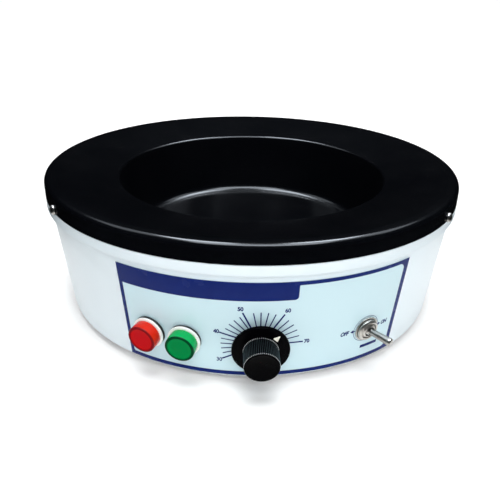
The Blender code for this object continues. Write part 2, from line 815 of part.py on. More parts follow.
def make_knob(axis):
    """A skirted knob: round flange, finely fluted grip and plain flat cap."""
    back, face, top = knob_levels()
    edge = KNOB_SKIRT_RIM / 4
    bore = SHAFT_RADIUS + HOLE_GAP
    well = face - KNOB_SKIRT_WALL
    rim_inner = KNOB_SKIRT_RADIUS - KNOB_SKIRT_WALL
    ceiling = top - 2 * KNOB_SKIRT_WALL
    core = KNOB_CAP_RADIUS - 2 * FLUTE_DEPTH
    outline = rounded([
        (bore, back, 0.0),
        (KNOB_HUB_RADIUS, back, 0.0),
        (KNOB_HUB_RADIUS, well, 0.0),
        (rim_inner, well, 0.0),
        (rim_inner, back, 0.0),
        (KNOB_SKIRT_RADIUS, back, edge),
        (KNOB_SKIRT_RADIUS, face, edge),
        (core, face, 0.0),
        (core, top, KNOB_FACE_CHAMFER),
        (0.0, top, 0.0),
        (0.0, ceiling, 0.0),
        (bore, ceiling, 0.0),
    ])
    knob = turned("control_knob", outline, "black_phenolic", axis, steps=DISC_STEPS)
    fluted = []
    for i in range(2 * FLUTE_COUNT):
        turn = pi * i / FLUTE_COUNT
        radius = KNOB_CAP_RADIUS - (FLUTE_DEPTH if i % 2 else 0.0)
        fluted.append((radius * cos(turn), radius * sin(turn)))
    root = face - KNOB_SKIRT_WALL / 2
    grip = prism("knob_grip", fluted, root, top - KNOB_FACE_CHAMFER, None, axis)
    drill(grip, bore + FLUTE_DEPTH, well - OVERRUN, ceiling + FLUTE_DEPTH, axis)
    boolean(knob, grip, "UNION")

    half = POINTER_WIDTH / 2
    base = POINTER_TIP_RADIUS - POINTER_LENGTH
    triangle = [(base, -half), (POINTER_TIP_RADIUS, 0.0), (base, half)]
    turn = Matrix.Rotation(radians(POINTER_ANGLE), 4, "Z")
    low = face + SEAT_GAP / 2
    prism("knob_pointer", triangle, low, low + POINTER_THICK, "pointer_white", axis, turn)

    outline = ring(0.0, SHAFT_RADIUS, -SHAFT_DEPTH, ceiling - SEAT_GAP, SHAFT_FLAT / 2)
    shaft = turned("thermostat_shaft", outline, "zinc_steel", axis, steps=SMALL_STEPS)
    flat = rectangle(3 * SHAFT_RADIUS, 2 * SHAFT_FLAT)
    edge = Matrix.Translation((0, SHAFT_RADIUS, 0))
    boolean(shaft, prism("shaft_flat", flat, back, top, None, axis, edge), "DIFFERENCE")


def thermostat_levels():
    """Heights of the plate's two faces and the body's two ends, below the wall."""
    plate_top = inside_face(THERMOSTAT_WIDTH / 2)
    plate_bottom = plate_top - THERMOSTAT_PLATE
    body_top = plate_bottom - SEAT_GAP
    return plate_top, plate_bottom, body_top, body_top - THERMOSTAT_DEPTH


def diaphragm_bottom():
    return thermostat_levels()[3] - SEAT_GAP - DIAPHRAGM_HEIGHT


def make_thermostat(station):
    """The capillary thermostat: front plate, moulded body and pressed diaphragm."""
    plate_top, plate_bottom, body_top, body_bottom = thermostat_levels()
    shaft_bore = SHAFT_RADIUS + HOLE_GAP
    hole = PAN_SCREW_SHANK + HOLE_GAP
    size = rectangle(THERMOSTAT_WIDTH, THERMOSTAT_WIDTH, THERMOSTAT_PLATE)
    plate = prism("thermostat_plate", size, plate_bottom, plate_top, "zinc_steel", station)
    boss = prism("thermostat_boss", circle(THERMOSTAT_BOSS_RADIUS), plate_bottom + SEAT_GAP, LABEL_TOP,
                 None, station)
    boolean(plate, boss, "UNION")
    drill(plate, shaft_bore, plate_bottom - OVERRUN, OVERRUN, station)
    for side in (-1, 1):
        place = Matrix.Translation((side * THERMOSTAT_SCREW_SPACING / 2, 0, 0))
        drill(plate, hole, plate_bottom - OVERRUN, OVERRUN, station, place, SMALL_STEPS)

    body = prism("thermostat_body", size, body_bottom, body_top, "brown_phenolic", station)
    drill(body, shaft_bore, -SHAFT_DEPTH - SEAT_GAP, body_top + OVERRUN, station)
    for side, name in ((-1, "left"), (1, "right")):
        place = Matrix.Translation((side * THERMOSTAT_SCREW_SPACING / 2, 0, 0))
        drill(body, hole, -SCREW_LENGTH, body_top + OVERRUN, station, place, SMALL_STEPS)
        seat = Matrix.Translation((0, 0, SEAT_GAP)) @ place
        outline = screw_outline(PAN_SCREW_HEAD, SCREW_HEAD_HEIGHT, PAN_SCREW_SHANK, PAN_SCREW_LENGTH)
        turned("thermostat_screw_" + name, outline, "zinc_steel", station, seat, SMALL_STEPS)

    cup_top = body_bottom - SEAT_GAP
    cup = ring(0.0, DIAPHRAGM_RADIUS, diaphragm_bottom(), cup_top, DIAPHRAGM_HEIGHT / 4)
    turned("thermostat_diaphragm", cup, "copper", station)


# Toggle switch

def switch_levels():
    """Heights of the body's two ends and the tabs' ends, below the wall."""
    top = -BUSHING_DEPTH - SEAT_GAP
    bottom = top - SWITCH_DEPTH
    return top, bottom, bottom - SEAT_GAP - TERMINAL_LENGTH


def make_switch(station):
    """Body, threaded bushing, washer, round dress nut and hexagon back nut."""
    seat = LABEL_TOP + SEAT_GAP
    bore = BUSHING_RADIUS + HOLE_GAP
    washer_top = seat + WASHER_THICK
    turned("switch_washer", ring(bore, WASHER_RADIUS, seat, washer_top, WASHER_THICK / 3),
           "nickel_plate", station)
    nut_bottom = washer_top + SEAT_GAP
    nut_top = nut_bottom + DRESS_NUT_THICK
    nut = rounded([
        (bore, nut_bottom, 0.0),
        (DRESS_NUT_RADIUS, nut_bottom, 0.0),
        (DRESS_NUT_RADIUS, nut_top - DRESS_NUT_THICK / 3, DRESS_NUT_THICK / 4),
        (bore + DRESS_NUT_THICK / 3, nut_top, DRESS_NUT_THICK / 6),
        (bore, nut_top, 0.0),
    ])
    turned("switch_dress_nut", nut, "nickel_plate", station)
    rim = (BUSHING_RADIUS - BUSHING_BORE) / 2
    bushing = ring(BUSHING_BORE, BUSHING_RADIUS, -BUSHING_DEPTH, BUSHING_REACH, rim)
    turned("switch_bushing", bushing, "nickel_plate", station)
    back_top = inside_face(SWITCH_NUT_FLATS / 2 / cos(pi / 6))
    hex_nut("switch_back_nut", SWITCH_NUT_FLATS, SWITCH_NUT_THICK, bore,
            back_top - SWITCH_NUT_THICK, "nickel_plate", station)

    body_top, body_bottom, tab_bottom = switch_levels()
    size = rectangle(SWITCH_WIDTH, SWITCH_BREADTH, TERMINAL_THICK)
    prism("switch_body", size, body_bottom, body_top, "brown_phenolic", station)
    for side, name in ((-1, "supply"), (1, "load")):
        place = Matrix.Translation((side * TERMINAL_SPACING / 2, 0, 0))
        tab_top = body_bottom - SEAT_GAP
        tab = prism("switch_tab_" + name, rectangle(TERMINAL_WIDTH, TERMINAL_THICK),
                    tab_bottom, tab_top, "brass", station, place)
        hole = place @ Matrix.Translation((0, 0, (tab_bottom + tab_top) / 2))
        across = hole @ Matrix.Rotation(pi / 2, 4, "X")
        drill(tab, TERMINAL_THICK, -OVERRUN, OVERRUN, station, across, SMALL_STEPS // 2)


def make_lever(pivot):
    """The bat: a ball in the bushing and a round arm that swells towards its tip."""
    neck = (LEVER_BALL ** 2 - LEVER_ROOT_RADIUS ** 2) ** 0.5
    steps = 6
    start = -pi / 2
    end = atan2(neck, LEVER_ROOT_RADIUS)
    ball = []
    for i in range(1, steps + 1):
        turn = start + (end - start) * i / steps
        ball.append((LEVER_BALL * cos(turn), LEVER_BALL * sin(turn)))
    arm = rounded([
        (LEVER_ROOT_RADIUS, neck, 0.0),
        (LEVER_TIP_RADIUS, LEVER_REACH, LEVER_TIP_ROUND),
        (0.0, LEVER_REACH, 0.0),
    ], closed=False)
    turned("switch_lever", [(0.0, -LEVER_BALL)] + ball + arm[1:], "bright_chrome", pivot)


# Heater under the bowl

def make_heater():
    """Mica heater, glass-wool pad and clamp plate, hung on one stud and nut."""
    heater_top = PAN_UNDERSIDE - SEAT_GAP
    heater_bottom = heater_top - HEATER_THICK
    turned("heater_element", ring(HEATER_HOLE, HEATER_RADIUS, heater_bottom, heater_top),
           "mica_board", steps=DISC_STEPS)
    pad_top = heater_bottom - SEAT_GAP
    pad_bottom = pad_top - INSULATION_THICK
    turned("insulation_pad", ring(HEATER_HOLE, HEATER_RADIUS, pad_bottom, pad_top),
           "glass_wool", steps=DISC_STEPS)
    plate_top = pad_bottom - SEAT_GAP
    plate_bottom = plate_top - CLAMP_THICK
    turned("clamp_plate", ring(HEATER_HOLE, CLAMP_RADIUS, plate_bottom, plate_top),
           "zinc_steel", steps=DISC_STEPS)
    nut_top = plate_bottom - SEAT_GAP
    nut_bottom = nut_top - STUD_NUT_THICK
    hex_nut("heater_nut", STUD_NUT_FLATS, STUD_NUT_THICK, STUD_RADIUS + HOLE_GAP, nut_bottom,
            "zinc_steel", None)
    stud = ring(0.0, STUD_RADIUS, nut_bottom - STUD_TAIL, heater_top, SCREW_SLOT_DEPTH / 2)
    turned("heater_stud", stud, "zinc_steel", steps=SMALL_STEPS)


# Cable gland

def make_gland(station):
    """Threaded body, lock nut, domed cap and rubber seal for the mains lead."""
    seat = SEAT_GAP
    flange_top = seat + GLAND_FLANGE
    neck_top = flange_top + GLAND_NECK
    body = prism("gland_body", hexagon(GLAND_FLATS), seat, flange_top, "black_phenolic", station)
    thread = prism("gland_thread", circle(GLAND_THREAD), -GLAND_TAIL, flange_top - SEAT_GAP, None, station)
    front = prism("gland_front", circle(GLAND_THREAD), seat + SEAT_GAP, neck_top, None, station)
    boolean(body, thread, "UNION")
    boolean(body, front, "UNION")
    drill(body, GLAND_BORE, -GLAND_TAIL - OVERRUN, neck_top + OVERRUN, station)
    nut_top = inside_face(GLAND_FLATS / 2 / cos(pi / 6))
    hex_nut("gland_lock_nut", GLAND_FLATS, GLAND_NUT_THICK, GLAND_THREAD + HOLE_GAP,
            nut_top - GLAND_NUT_THICK, "black_phenolic", station)

    cap_bottom = flange_top + SEAT_GAP
    cap_top = cap_bottom + GLAND_CAP_LENGTH
    ceiling = cap_top - GLAND_CAP_WALL
    cap = rounded([
        (GLAND_THREAD + HOLE_GAP, cap_bottom, 0.0),
        (GLAND_CAP_RADIUS, cap_bottom, 0.0),
        (GLAND_CAP_RADIUS, cap_top, GLAND_CAP_RADIUS - GLAND_CAP_MOUTH),
        (GLAND_CAP_MOUTH, cap_top, 0.0),
        (GLAND_CAP_MOUTH, ceiling, 0.0),
        (GLAND_THREAD + HOLE_GAP, ceiling - GLAND_CAP_WALL, 0.0),
    ])
    turned("gland_cap", cap, "black_phenolic", station)
    seal_bottom = neck_top + SEAT_GAP
    seal = ring(SEAL_BORE, GLAND_THREAD - HOLE_GAP, seal_bottom, ceiling - GLAND_CAP_WALL - SEAT_GAP)
    turned("gland_seal", seal, "black_rubber", station)


# Terminal block and earth screw on the base plate

def floor_frame(circle_radius, degrees_from_front, height):
    turn = Matrix.Rotation(radians(degrees_from_front), 4, "Z")
    return Matrix.Translation(polar(circle_radius, degrees_from_front, height)) @ turn


def block_frame():
    """The terminal block's place on the underside of the base plate, X along the block."""
    return floor_frame(BLOCK_CIRCLE, BLOCK_ANGLE, FOOT_HEIGHT)


def earth_place():
    return floor_frame(BLOCK_CIRCLE, EARTH_ANGLE, FOOT_HEIGHT)


def pole_x(pole):
    """How far a pole of the terminal block lies from its middle."""
    return (pole - (BLOCK_POLES - 1) / 2) * BLOCK_LENGTH / (BLOCK_POLES + 1)


def make_block():
    """A moulded terminal block with screw wells, held by one screw, and the earth screw."""
    lift = BASE_THICK + SEAT_GAP
    frame = block_frame() @ Matrix.Translation((0, 0, lift))
    size = rectangle(BLOCK_LENGTH, BLOCK_BREADTH, SCREW_SLOT)
    block = prism("terminal_block", size, 0.0, BLOCK_HEIGHT, "white_nylon", None, frame)
    for pole in range(BLOCK_POLES):
        for side in (-1, 1):
            place = frame @ Matrix.Translation((pole_x(pole), side * BLOCK_BREADTH / 4, 0))
            drill(block, BLOCK_WELL_RADIUS, BLOCK_HEIGHT - BLOCK_WELL_DEPTH,
                  BLOCK_HEIGHT + OVERRUN, None, place, SMALL_STEPS // 2)
    drill(block, SCREW_SHANK + HOLE_GAP, -OVERRUN, SCREW_LENGTH, None, frame, SMALL_STEPS)
    seat = Matrix.Translation((0, 0, -SEAT_GAP))
    slotted_screw("block_screw", SCREW_HEAD, SCREW_HEAD_HEIGHT, SCREW_SHANK, SCREW_LENGTH,
                  "zinc_steel", seat @ block_frame())
    slotted_screw("earth_screw", SCREW_HEAD, SCREW_HEAD_HEIGHT, SCREW_SHANK, 2 * SCREW_LENGTH,
                  "brass", seat @ earth_place())


# Sensor, capillary and inner wiring

def bowl_lean():
    return atan2(BOWL_RADIUS - BOWL_FLOOR_RADIUS, BOWL_DEPTH)


def bowl_outside(height, lift):
    """The radius of a surface lifted off the outside of the bowl's wall."""
    inside = BOWL_FLOOR_RADIUS + (height - BOWL_FLOOR) * tan(bowl_lean())
    return inside + (PAN_THICK + lift) / cos(bowl_lean())


def sensor_frame():
    """The sensor bulb's middle: X along the bulb, Z out from the bowl."""
    height = BOWL_FLOOR + SENSOR_RISE
    return radial_station(SENSOR_ANGLE, bowl_outside(height, SENSOR_RADIUS + SEAT_GAP), height)


def smooth_route(points, step):
    """Evenly spaced points on one smooth curve through the route's own points."""
    whole = [2 * points[0] - points[1]] + points + [2 * points[-1] - points[-2]]
    fine = 24
    track = []
    for a, b, c, d in zip(whole, whole[1:], whole[2:], whole[3:]):
        for i in range(fine):
            t = i / fine
            track.append(0.5 * (
                2 * b + (c - a) * t + (2 * a - 5 * b + 4 * c - d) * t ** 2
                + (3 * b - a - 3 * c + d) * t ** 3
            ))
    track.append(points[-1])
    lengths = [0.0]
    for a, b in zip(track, track[1:]):
        lengths.append(lengths[-1] + (b - a).length)
    count = max(round(lengths[-1] / step), 2)
    even = []
    place = 0
    for i in range(count + 1):
        want = lengths[-1] * i / count
        while place < len(lengths) - 2 and lengths[place + 1] < want:
            place += 1
        share = (want - lengths[place]) / (lengths[place + 1] - lengths[place])
        even.append(track[place].lerp(track[place + 1], min(share, 1.0)))
    return even


def make_wire(name, route, radius, finish):
    """A round wire on a smooth curve through its route, closed at both ends."""
    points = smooth_route([Vector(point) for point in route], WIRE_STEP)
    bm = bmesh.new()
    rings = []
    side = None
    for i, point in enumerate(points):
        ahead = points[min(i + 1, len(points) - 1)] - points[max(i - 1, 0)]
        if point is points[0]:
            ahead = Vector(route[1]) - Vector(route[0])
        if point is points[-1]:
            ahead = Vector(route[-1]) - Vector(route[-2])
        ahead = ahead.normalized()
        side = ahead.orthogonal() if side is None else side - ahead * side.dot(ahead)
        side = side.normalized()
        other = ahead.cross(side)
        rings.append([bm.verts.new(point + side * x + other * y) for x, y in circle(radius, WIRE_SIDES)])
    for one, next_one in zip(rings, rings[1:]):
        for k in range(WIRE_SIDES):
            after = (k + 1) % WIRE_SIDES
            bm.faces.new((one[k], one[after], next_one[after], next_one[k]))
    bm.faces.new(rings[0])
    bm.faces.new(rings[-1])
    return add_object(name, bm, finish)


def make_sensor(station):
    """The liquid bulb along the bowl's wall, and its capillary from the thermostat."""
    frame = sensor_frame()
    outlet = station.matrix_world
    half = SENSOR_LENGTH / 2
    along = frame @ Matrix.Rotation(pi / 2, 4, "Y")
    prism("sensor_bulb", circle(SENSOR_RADIUS, SMALL_STEPS), -half, half, "copper", None, along)
    start = diaphragm_bottom() - SEAT_GAP
    end = -half - SEAT_GAP
    lead = 2 * SENSOR_RADIUS
    middle = BOWL_FLOOR + SENSOR_RISE / 3
    between = (bowl_outside(middle, 0) + CONTROL_RADIUS + start) / 2
    turn_angle = KNOB_ANGLE + (SENSOR_ANGLE - KNOB_ANGLE) * CAPILLARY_TURN_SHARE
    route = [
        outlet @ Vector((0, 0, start)),
        outlet @ Vector((0, 0, start - lead)),
        polar(between, turn_angle, middle),
        frame @ Vector((end - 2 * lead, 0, 0)),
        frame @ Vector((end, 0, 0)),
    ]
    make_wire("capillary_tube", route, CAPILLARY_RADIUS, "copper")


def make_wiring(stations):
    """The four power leads, from the terminal block round to the heater and back."""
    switch, knob = stations["switch"].matrix_world, stations["knob"].matrix_world
    tab_end = switch_levels()[2] - SEAT_GAP
    low = FOOT_HEIGHT + BASE_THICK + BLOCK_HEIGHT
    rail = FLANGE_RADIUS - 2 * WIRE_STEP
    block = block_frame() @ Matrix.Translation((0, 0, BASE_THICK + SEAT_GAP + BLOCK_HEIGHT / 2))
    outer_face = -BLOCK_BREADTH / 2 - SEAT_GAP
    supply = [
        block @ Vector((pole_x(0), outer_face, 0)),
        block @ Vector((pole_x(0), outer_face - WIRE_STEP, 0)),
    ]
    supply += [polar(rail, BLOCK_ANGLE + (SWITCH_ANGLE - BLOCK_ANGLE) * share, low)
               for share in WIRE_RAIL_SHARES]
    supply += [
        switch @ Vector((TERMINAL_SPACING / 2, 0, tab_end - WIRE_LEAD)),
        switch @ Vector((TERMINAL_SPACING / 2, 0, tab_end)),
    ]
    make_wire("wire_block_to_switch", supply, WIRE_RADIUS, "wire_red")

    side = THERMOSTAT_WIDTH / 2 + SEAT_GAP
    depth = diaphragm_bottom() / 2
    between = (KNOB_ANGLE + SWITCH_ANGLE) / 2
    hub = CONTROL_RADIUS + tab_end - WIRE_LEAD / 2
    make_wire("wire_switch_to_thermostat", [
        switch @ Vector((-TERMINAL_SPACING / 2, 0, tab_end)),
        switch @ Vector((-TERMINAL_SPACING / 2, 0, tab_end - WIRE_LEAD / 2)),
        polar(hub, between, CONTROL_Z),
        knob @ Vector((side + WIRE_LEAD / 2, 0, depth)),
        knob @ Vector((side, 0, depth)),
    ], WIRE_RADIUS, "wire_red")

    heater_z = PAN_UNDERSIDE - SEAT_GAP - HEATER_THICK / 2
    heater_rim = HEATER_RADIUS + SEAT_GAP
    make_wire("wire_thermostat_to_heater", [
        knob @ Vector((-side, 0, depth)),
        knob @ Vector((-side - WIRE_LEAD / 3, 0, depth)),
        polar(heater_rim + WIRE_LEAD, HEATER_LEAD_ANGLE, CONTROL_Z + WIRE_LEAD / 3),
        polar(heater_rim + WIRE_LEAD / 3, HEATER_LEAD_ANGLE, heater_z),
        polar(heater_rim, HEATER_LEAD_ANGLE, heater_z),
    ], WIRE_RADIUS, "wire_black")

    inner_face = BLOCK_BREADTH / 2 + SEAT_GAP
    last = pole_x(BLOCK_POLES - 1)
    make_wire("wire_heater_to_block", [
        polar(heater_rim, BLOCK_ANGLE, heater_z),
        polar(heater_rim + WIRE_LEAD / 3, BLOCK_ANGLE, heater_z),
        polar(heater_rim + WIRE_LEAD / 2, BLOCK_ANGLE, heater_z - WIRE_LEAD),
        block @ Vector((last, inner_face + WIRE_LEAD / 3, 0)),
        block @ Vector((last, inner_face, 0)),
    ], WIRE_RADIUS, "wire_blue")


def build():
    clear_scene()
    stations = {
        "red": add_empty("red_lamp_axis", control_station(RED_LAMP_ARC)),
        "green": add_empty("green_lamp_axis", control_station(GREEN_LAMP_ARC)),
        "knob": add_empty("knob_axis", control_station(KNOB_ARC)),
        "switch": add_empty("switch_axis", control_station(SWITCH_ARC)),
        "gland": add_empty("gland_axis", panel_station(GLAND_ANGLE, BODY_BOTTOM + GLAND_HEIGHT)),
    }
    pivot_place = control_station(SWITCH_ARC)
    pivot_place = pivot_place @ Matrix.Translation((0, 0, LEVER_PIVOT))
    pivot_place = pivot_place @ Matrix.Rotation(radians(LEVER_TILT), 4, "Y")
    pivot = add_empty("lever_pivot", pivot_place)

    make_pan()
    make_housing(stations)
    make_pan_screws()
    make_base()
    make_feet()
    make_label(stations)
    envelope = wall_envelope()
    make_lamp("red", stations["red"], envelope)
    make_lamp("green", stations["green"], envelope)
    make_knob(stations["knob"])
    make_thermostat(stations["knob"])
    make_switch(stations["switch"])
    make_lever(pivot)
    make_heater()
    make_gland(stations["gland"])
    make_block()
    make_sensor(stations["knob"])
    make_wiring(stations)


build()
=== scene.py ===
"""Looks of the electric tissue flotation bath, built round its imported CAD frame.

Lengths are metres in the frame's own axes: the front is -Y, +X is to the user's right.
"""

from math import atan2, ceil, cos, degrees, floor, pi, radians, sin, tan

import bmesh
import bpy
from mathutils import Matrix, Vector
from mathutils.geometry import tessellate_polygon


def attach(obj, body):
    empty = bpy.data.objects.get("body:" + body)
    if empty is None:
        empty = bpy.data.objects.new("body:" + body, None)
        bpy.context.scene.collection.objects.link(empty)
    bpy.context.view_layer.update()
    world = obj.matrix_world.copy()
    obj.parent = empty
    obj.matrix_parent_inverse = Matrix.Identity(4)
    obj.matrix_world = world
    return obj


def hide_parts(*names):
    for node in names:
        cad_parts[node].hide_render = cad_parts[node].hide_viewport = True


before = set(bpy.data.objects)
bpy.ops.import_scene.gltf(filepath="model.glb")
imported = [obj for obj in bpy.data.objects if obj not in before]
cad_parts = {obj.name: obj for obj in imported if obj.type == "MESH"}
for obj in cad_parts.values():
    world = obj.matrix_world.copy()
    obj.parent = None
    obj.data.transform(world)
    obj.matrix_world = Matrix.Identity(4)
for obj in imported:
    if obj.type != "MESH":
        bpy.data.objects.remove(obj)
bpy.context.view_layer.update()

# Mesh fineness
SHELL_STEPS = 240
PART_STEPS = 72
FINE_STEPS = 96
SMALL_STEPS = 48
FILLET_PITCH = 0.0003
FILLET_STEPS = 10
PRINT_PITCH = 0.0022
SHARP_ANGLE = radians(35)
ON_AXIS = 0.000001

# Clearances, as in the solids
SEAT_GAP = 0.0003
HOLE_GAP = 0.0003
OVERRUN = 0.002

# Stand, base and housing
FOOT_HEIGHT = 0.0055
FOOT_RADIUS = 0.012
FOOT_TIP_RADIUS = 0.0105
FOOT_CIRCLE = 0.136
FOOT_ANGLES = {"front_left": -45.0, "front_right": 45.0, "rear_left": -135.0, "rear_right": 135.0}
SCREW_HEAD = 0.0038
SCREW_HEAD_HEIGHT = 0.0018
SCREW_SHANK = 0.0019
SCREW_LENGTH = 0.008
BASE_THICK = 0.0012
BASE_LIP = 0.0017
BASE_SCREW_ANGLES = (0.0, 120.0, -120.0)
BLOCK_CIRCLE = 0.118
BLOCK_ANGLES = (150.0, -150.0)
BODY_BOTTOM = 0.0070
WALL_THICK = 0.0012
WAIST_RADIUS = 0.1715
FOOT_END_RADIUS = 0.1622
WALL_CORNER = 0.001
FLANGE_WIDTH = 0.0155
COLLAR_BOTTOM = 0.0933
COLLAR_TOP = 0.1018
COLLAR_UNDERCUT = 0.001
COLLAR_ROUND = 0.0012
NECK_HEIGHT = 0.007

# Pan
PAN_RADIUS = 0.175
PAN_THICK = 0.0015
NECK_RADIUS = 0.173
SHOULDER_ROUND = 0.0064
RIM_CREST = 0.1160
CROWN_WIDTH = 0.009
CROWN_ROUND = 0.006
BOWL_EDGE = 0.1075
BOWL_RADIUS = 0.1149
BOWL_EDGE_ROUND = 0.003
BOWL_FLOOR = 0.0529
BOWL_FLOOR_RADIUS = 0.1025
BOWL_CORNER = 0.008
PAN_SCREW_ANGLES = {"left": -57.0, "right": 57.0, "rear": 180.0}
PAN_SCREW_RISE = 0.0028
PAN_SCREW_HEAD = 0.0038
PAN_SCREW_DOME = 0.0026
PAN_SCREW_SHANK = 0.0018
PAN_SCREW_LENGTH = 0.008

# Places of the controls, measured round the wall from the front
CONTROL_HEIGHT = 0.0299
RED_LAMP_ARC = -0.0716
GREEN_LAMP_ARC = -0.0442
KNOB_ARC = 0.0081
SWITCH_ARC = 0.0881
GLAND_HEIGHT = 0.024

# Label film and what is printed on it: arcs from the front, heights above the housing's foot
FILM_GAP = 0.0002
FILM_TOP = 0.00042
INK_BOTTOM = 0.00044
INK_TOP = 0.00049
LABEL_LEFT = -0.0932
LABEL_RIGHT = 0.1181
LABEL_FOOT = 0.0013
LABEL_TOP = 0.0809
KNOB_HOLE = 0.0148
BORDER_LEFT = 0.0032
BORDER_RIGHT = 0.0042
BORDER_FOOT = 0.0034
BORDER_TOP = 0.0030
BAND_RIGHT = 0.0319
BAND_LEFT_LOW = 0.0655
BAND_RIGHT_LOW = 0.0664
BAND_CORNER = 0.0026
WINDOW_CORNER = 0.0050

# Dial: a scale from 30 to 70 round the knob, angles from the right, counter-clockwise
DIAL_FIRST = 30
DIAL_LAST = 70
DIAL_STEP = 2
DIAL_NUMBER_STEP = 10
DIAL_START = 208.0
DIAL_TURN = 44.5
DIAL_STRETCH = 1.84
DIAL_SHIFT = {50: 3.3}
TICK_START = 0.0152
TICK_END = 0.0273
LONG_TICK_END = 0.0297
TICK_WIDTH = 0.00080
LONG_TICK_WIDTH = 0.00115
NUMBER_RADIUS = {30: 0.0319, 40: 0.0319, 50: 0.0330, 60: 0.0334, 70: 0.0325}
NUMBER_HEIGHT = 0.0035
NUMBER_SQUEEZE = 0.88

# Print round the switch: words with their angles, their arrows' angles and ways
SWITCH_WORDS = (("OFF", 24.25, 26.4, -1), ("ON", 36.7, 34.7, 1))
WORD_HEIGHT = 0.0038
WORD_SLANT = 0.25
WORD_SQUEEZE = 0.77
ARROW_SHIFT = 0.0018
ARROW_LENGTH = 0.0040
ARROW_NECK = 0.0018
ARROW_STROKE = 0.0009
ARROW_HEAD = 0.0024
ARROW_HALF = 0.0015
SWITCH_RING = (0.0107, 0.0110)
SMALL_BAR_ANGLE = 32.6
SMALL_BAR_LEVEL = 0.0133
SMALL_BAR_HALF = 0.0080
SMALL_BAR_WIDTH = 0.0027

# How far letters are fattened, less where their strokes would run together
LETTER_WEIGHT = 0.045
THIN_LETTER_WEIGHTS = {"3": 0.026, "6": 0.036}

# Signal lamps
LENS_RADIUS = 0.0106
LENS_FACE = 0.0087
LENS_WALL = 0.0014
LENS_LIP = 0.0012
LENS_INSET = 0.0005
BARREL_RADIUS = 0.0078
BARREL_LENGTH = 0.022
GASKET_RADIUS = {"red": 0.0119, "green": 0.0117}
BEZEL_RADIUS = 0.0120
LAMP_LEVELS = {"gasket": (0.0008, 0.0023), "bezel": (0.0026, 0.0042), "lens": (0.0045, 0.0125)}

# Knob and switch
KNOB_BACK = 0.0047
KNOB_FACE = 0.0077
KNOB_TOP = 0.0241
KNOB_SKIRT_RADIUS = 0.0200
KNOB_CAP_RADIUS = 0.0123
KNOB_HUB_RADIUS = 0.0065
KNOB_BORE = 0.0033
KNOB_WALL = 0.0018
KNOB_RIM = 0.0016
KNOB_DISH = 0.0002
FLUTE_COUNT = 60
FLUTE_DEPTH = 0.00038
GRIP_ROUND = 0.0012
POINTER_ANGLE = 46.5
POINTER_TIP = 0.0183
POINTER_BASE = 0.0136
POINTER_WIDTH = 0.0042
POINTER_THICK = 0.0004
SHAFT_HOLE = 0.005
PLATE_SCREW_SIDE = 0.011
BUSHING_RADIUS = 0.0059
BUSHING_BORE = 0.0046
BUSHING_MOUTH = 0.0038
BUSHING_TOP = 0.0052
BUSHING_DEPTH = 0.008
WASHER_RADIUS = 0.00975
WASHER_LEVELS = (0.0008, 0.0014, 0.0017)
DRESS_NUT_RADIUS = 0.0085
DRESS_NUT_LEVELS = (0.0020, 0.0034, 0.0044)
LEVER_PIVOT = 0.0018
LEVER_TILT = 16.5
LEVER_BALL = 0.0042
LEVER_REACH = 0.0205
LEVER_ROOT_RADIUS = 0.0024
LEVER_TIP_RADIUS = 0.0030
LEVER_TIP_ROUND = 0.0014

# Studio: how much brighter the paper shows than it is lit, near the bath and far off, the black cards, the gloss
# boxes' height, the angles between which the backdrop darkens, and its share as a lamp
PAPER_RADIUS = 12.0
PAPER_GLOW = (0.14, 0.34)
PAPER_REACH = (0.30, 1.20)
CARD_OPENING = 0.275
CARD_REACH = 2.2
CARD_HEIGHT = 1.2
LEFT_CARD = [(-1.8, -0.9), (-0.26, -0.33), (-0.26, 0.33), (-1.8, 0.9)]
GLOSS_HEIGHT = 1.58
HORIZON = (9, 12)
WORLD_LIGHT = 0.5

# Gland
GLAND_THREAD = 0.0079
GLAND_FLANGE_TOP = 0.0053
GLAND_CAP_RADIUS = 0.0105
GLAND_CAP_TOP = 0.0226
GLAND_CAP_MOUTH = 0.0046
GLAND_CAP_WALL = 0.002
GLAND_RIBS = 12
GLAND_RIB_DEPTH = 0.0005
GLAND_GRIP = (0.0090, 0.0095, 0.0100)

# Camera, solved from the ellipses of the rim, the collar and the foot: radians, metres and millimetres
CAMERA_PITCH = 0.4485
CAMERA_YAW = -0.0005
CAMERA_ROLL = 0.0191
CAMERA_PLACE = (0.0, -0.500, 0.26926)
CAMERA_LENS = 42.23
CAMERA_SENSOR = 36.0

WALL_LEAN = atan2(WAIST_RADIUS - FOOT_END_RADIUS, COLLAR_BOTTOM - COLLAR_UNDERCUT - BODY_BOTTOM)
CONTROL_Z = BODY_BOTTOM + CONTROL_HEIGHT


# Finishes

def linear(channel):
    """One sRGB channel, 0 to 1, as linear light."""
    if channel <= 0.04045:
        return channel / 12.92
    return ((channel + 0.055) / 1.055) ** 2.4


def tone(code):
    return (*[linear(int(code[i:i + 2], 16) / 255) for i in (0, 2, 4)], 1.0)


def settle(tree, node, settings, links):
    """Give a node its settings, and link its inputs."""
    for name, value in settings.items():
        if name == "stops":
            while len(node.color_ramp.elements) < len(value):
                node.color_ramp.elements.new(1.0)
            for stop, (place, code) in zip(node.color_ramp.elements, value):
                stop.position = place
                stop.color = tone(code)
        elif isinstance(name, int) or name in node.inputs:
            node.inputs[name].default_value = value
        else:
            setattr(node, name, value)
    for name, socket in links.items():
        tree.links.new(socket, node.inputs[name])
    return node


def add(tree, kind, settings, links):
    """Add one node with its settings, and link its inputs."""
    return settle(tree, tree.nodes.new("ShaderNode" + kind), settings, links)


def fade(tree, value, ends=(0.0, 1.0), levels=(0.0, 1.0)):
    """A value between two ends, turned into one between two levels and held there."""
    settings = {"From Min": ends[0], "From Max": ends[1], "To Min": levels[0], "To Max": levels[1]}
    return add(tree, "MapRange", settings, {"Value": value}).outputs["Result"]


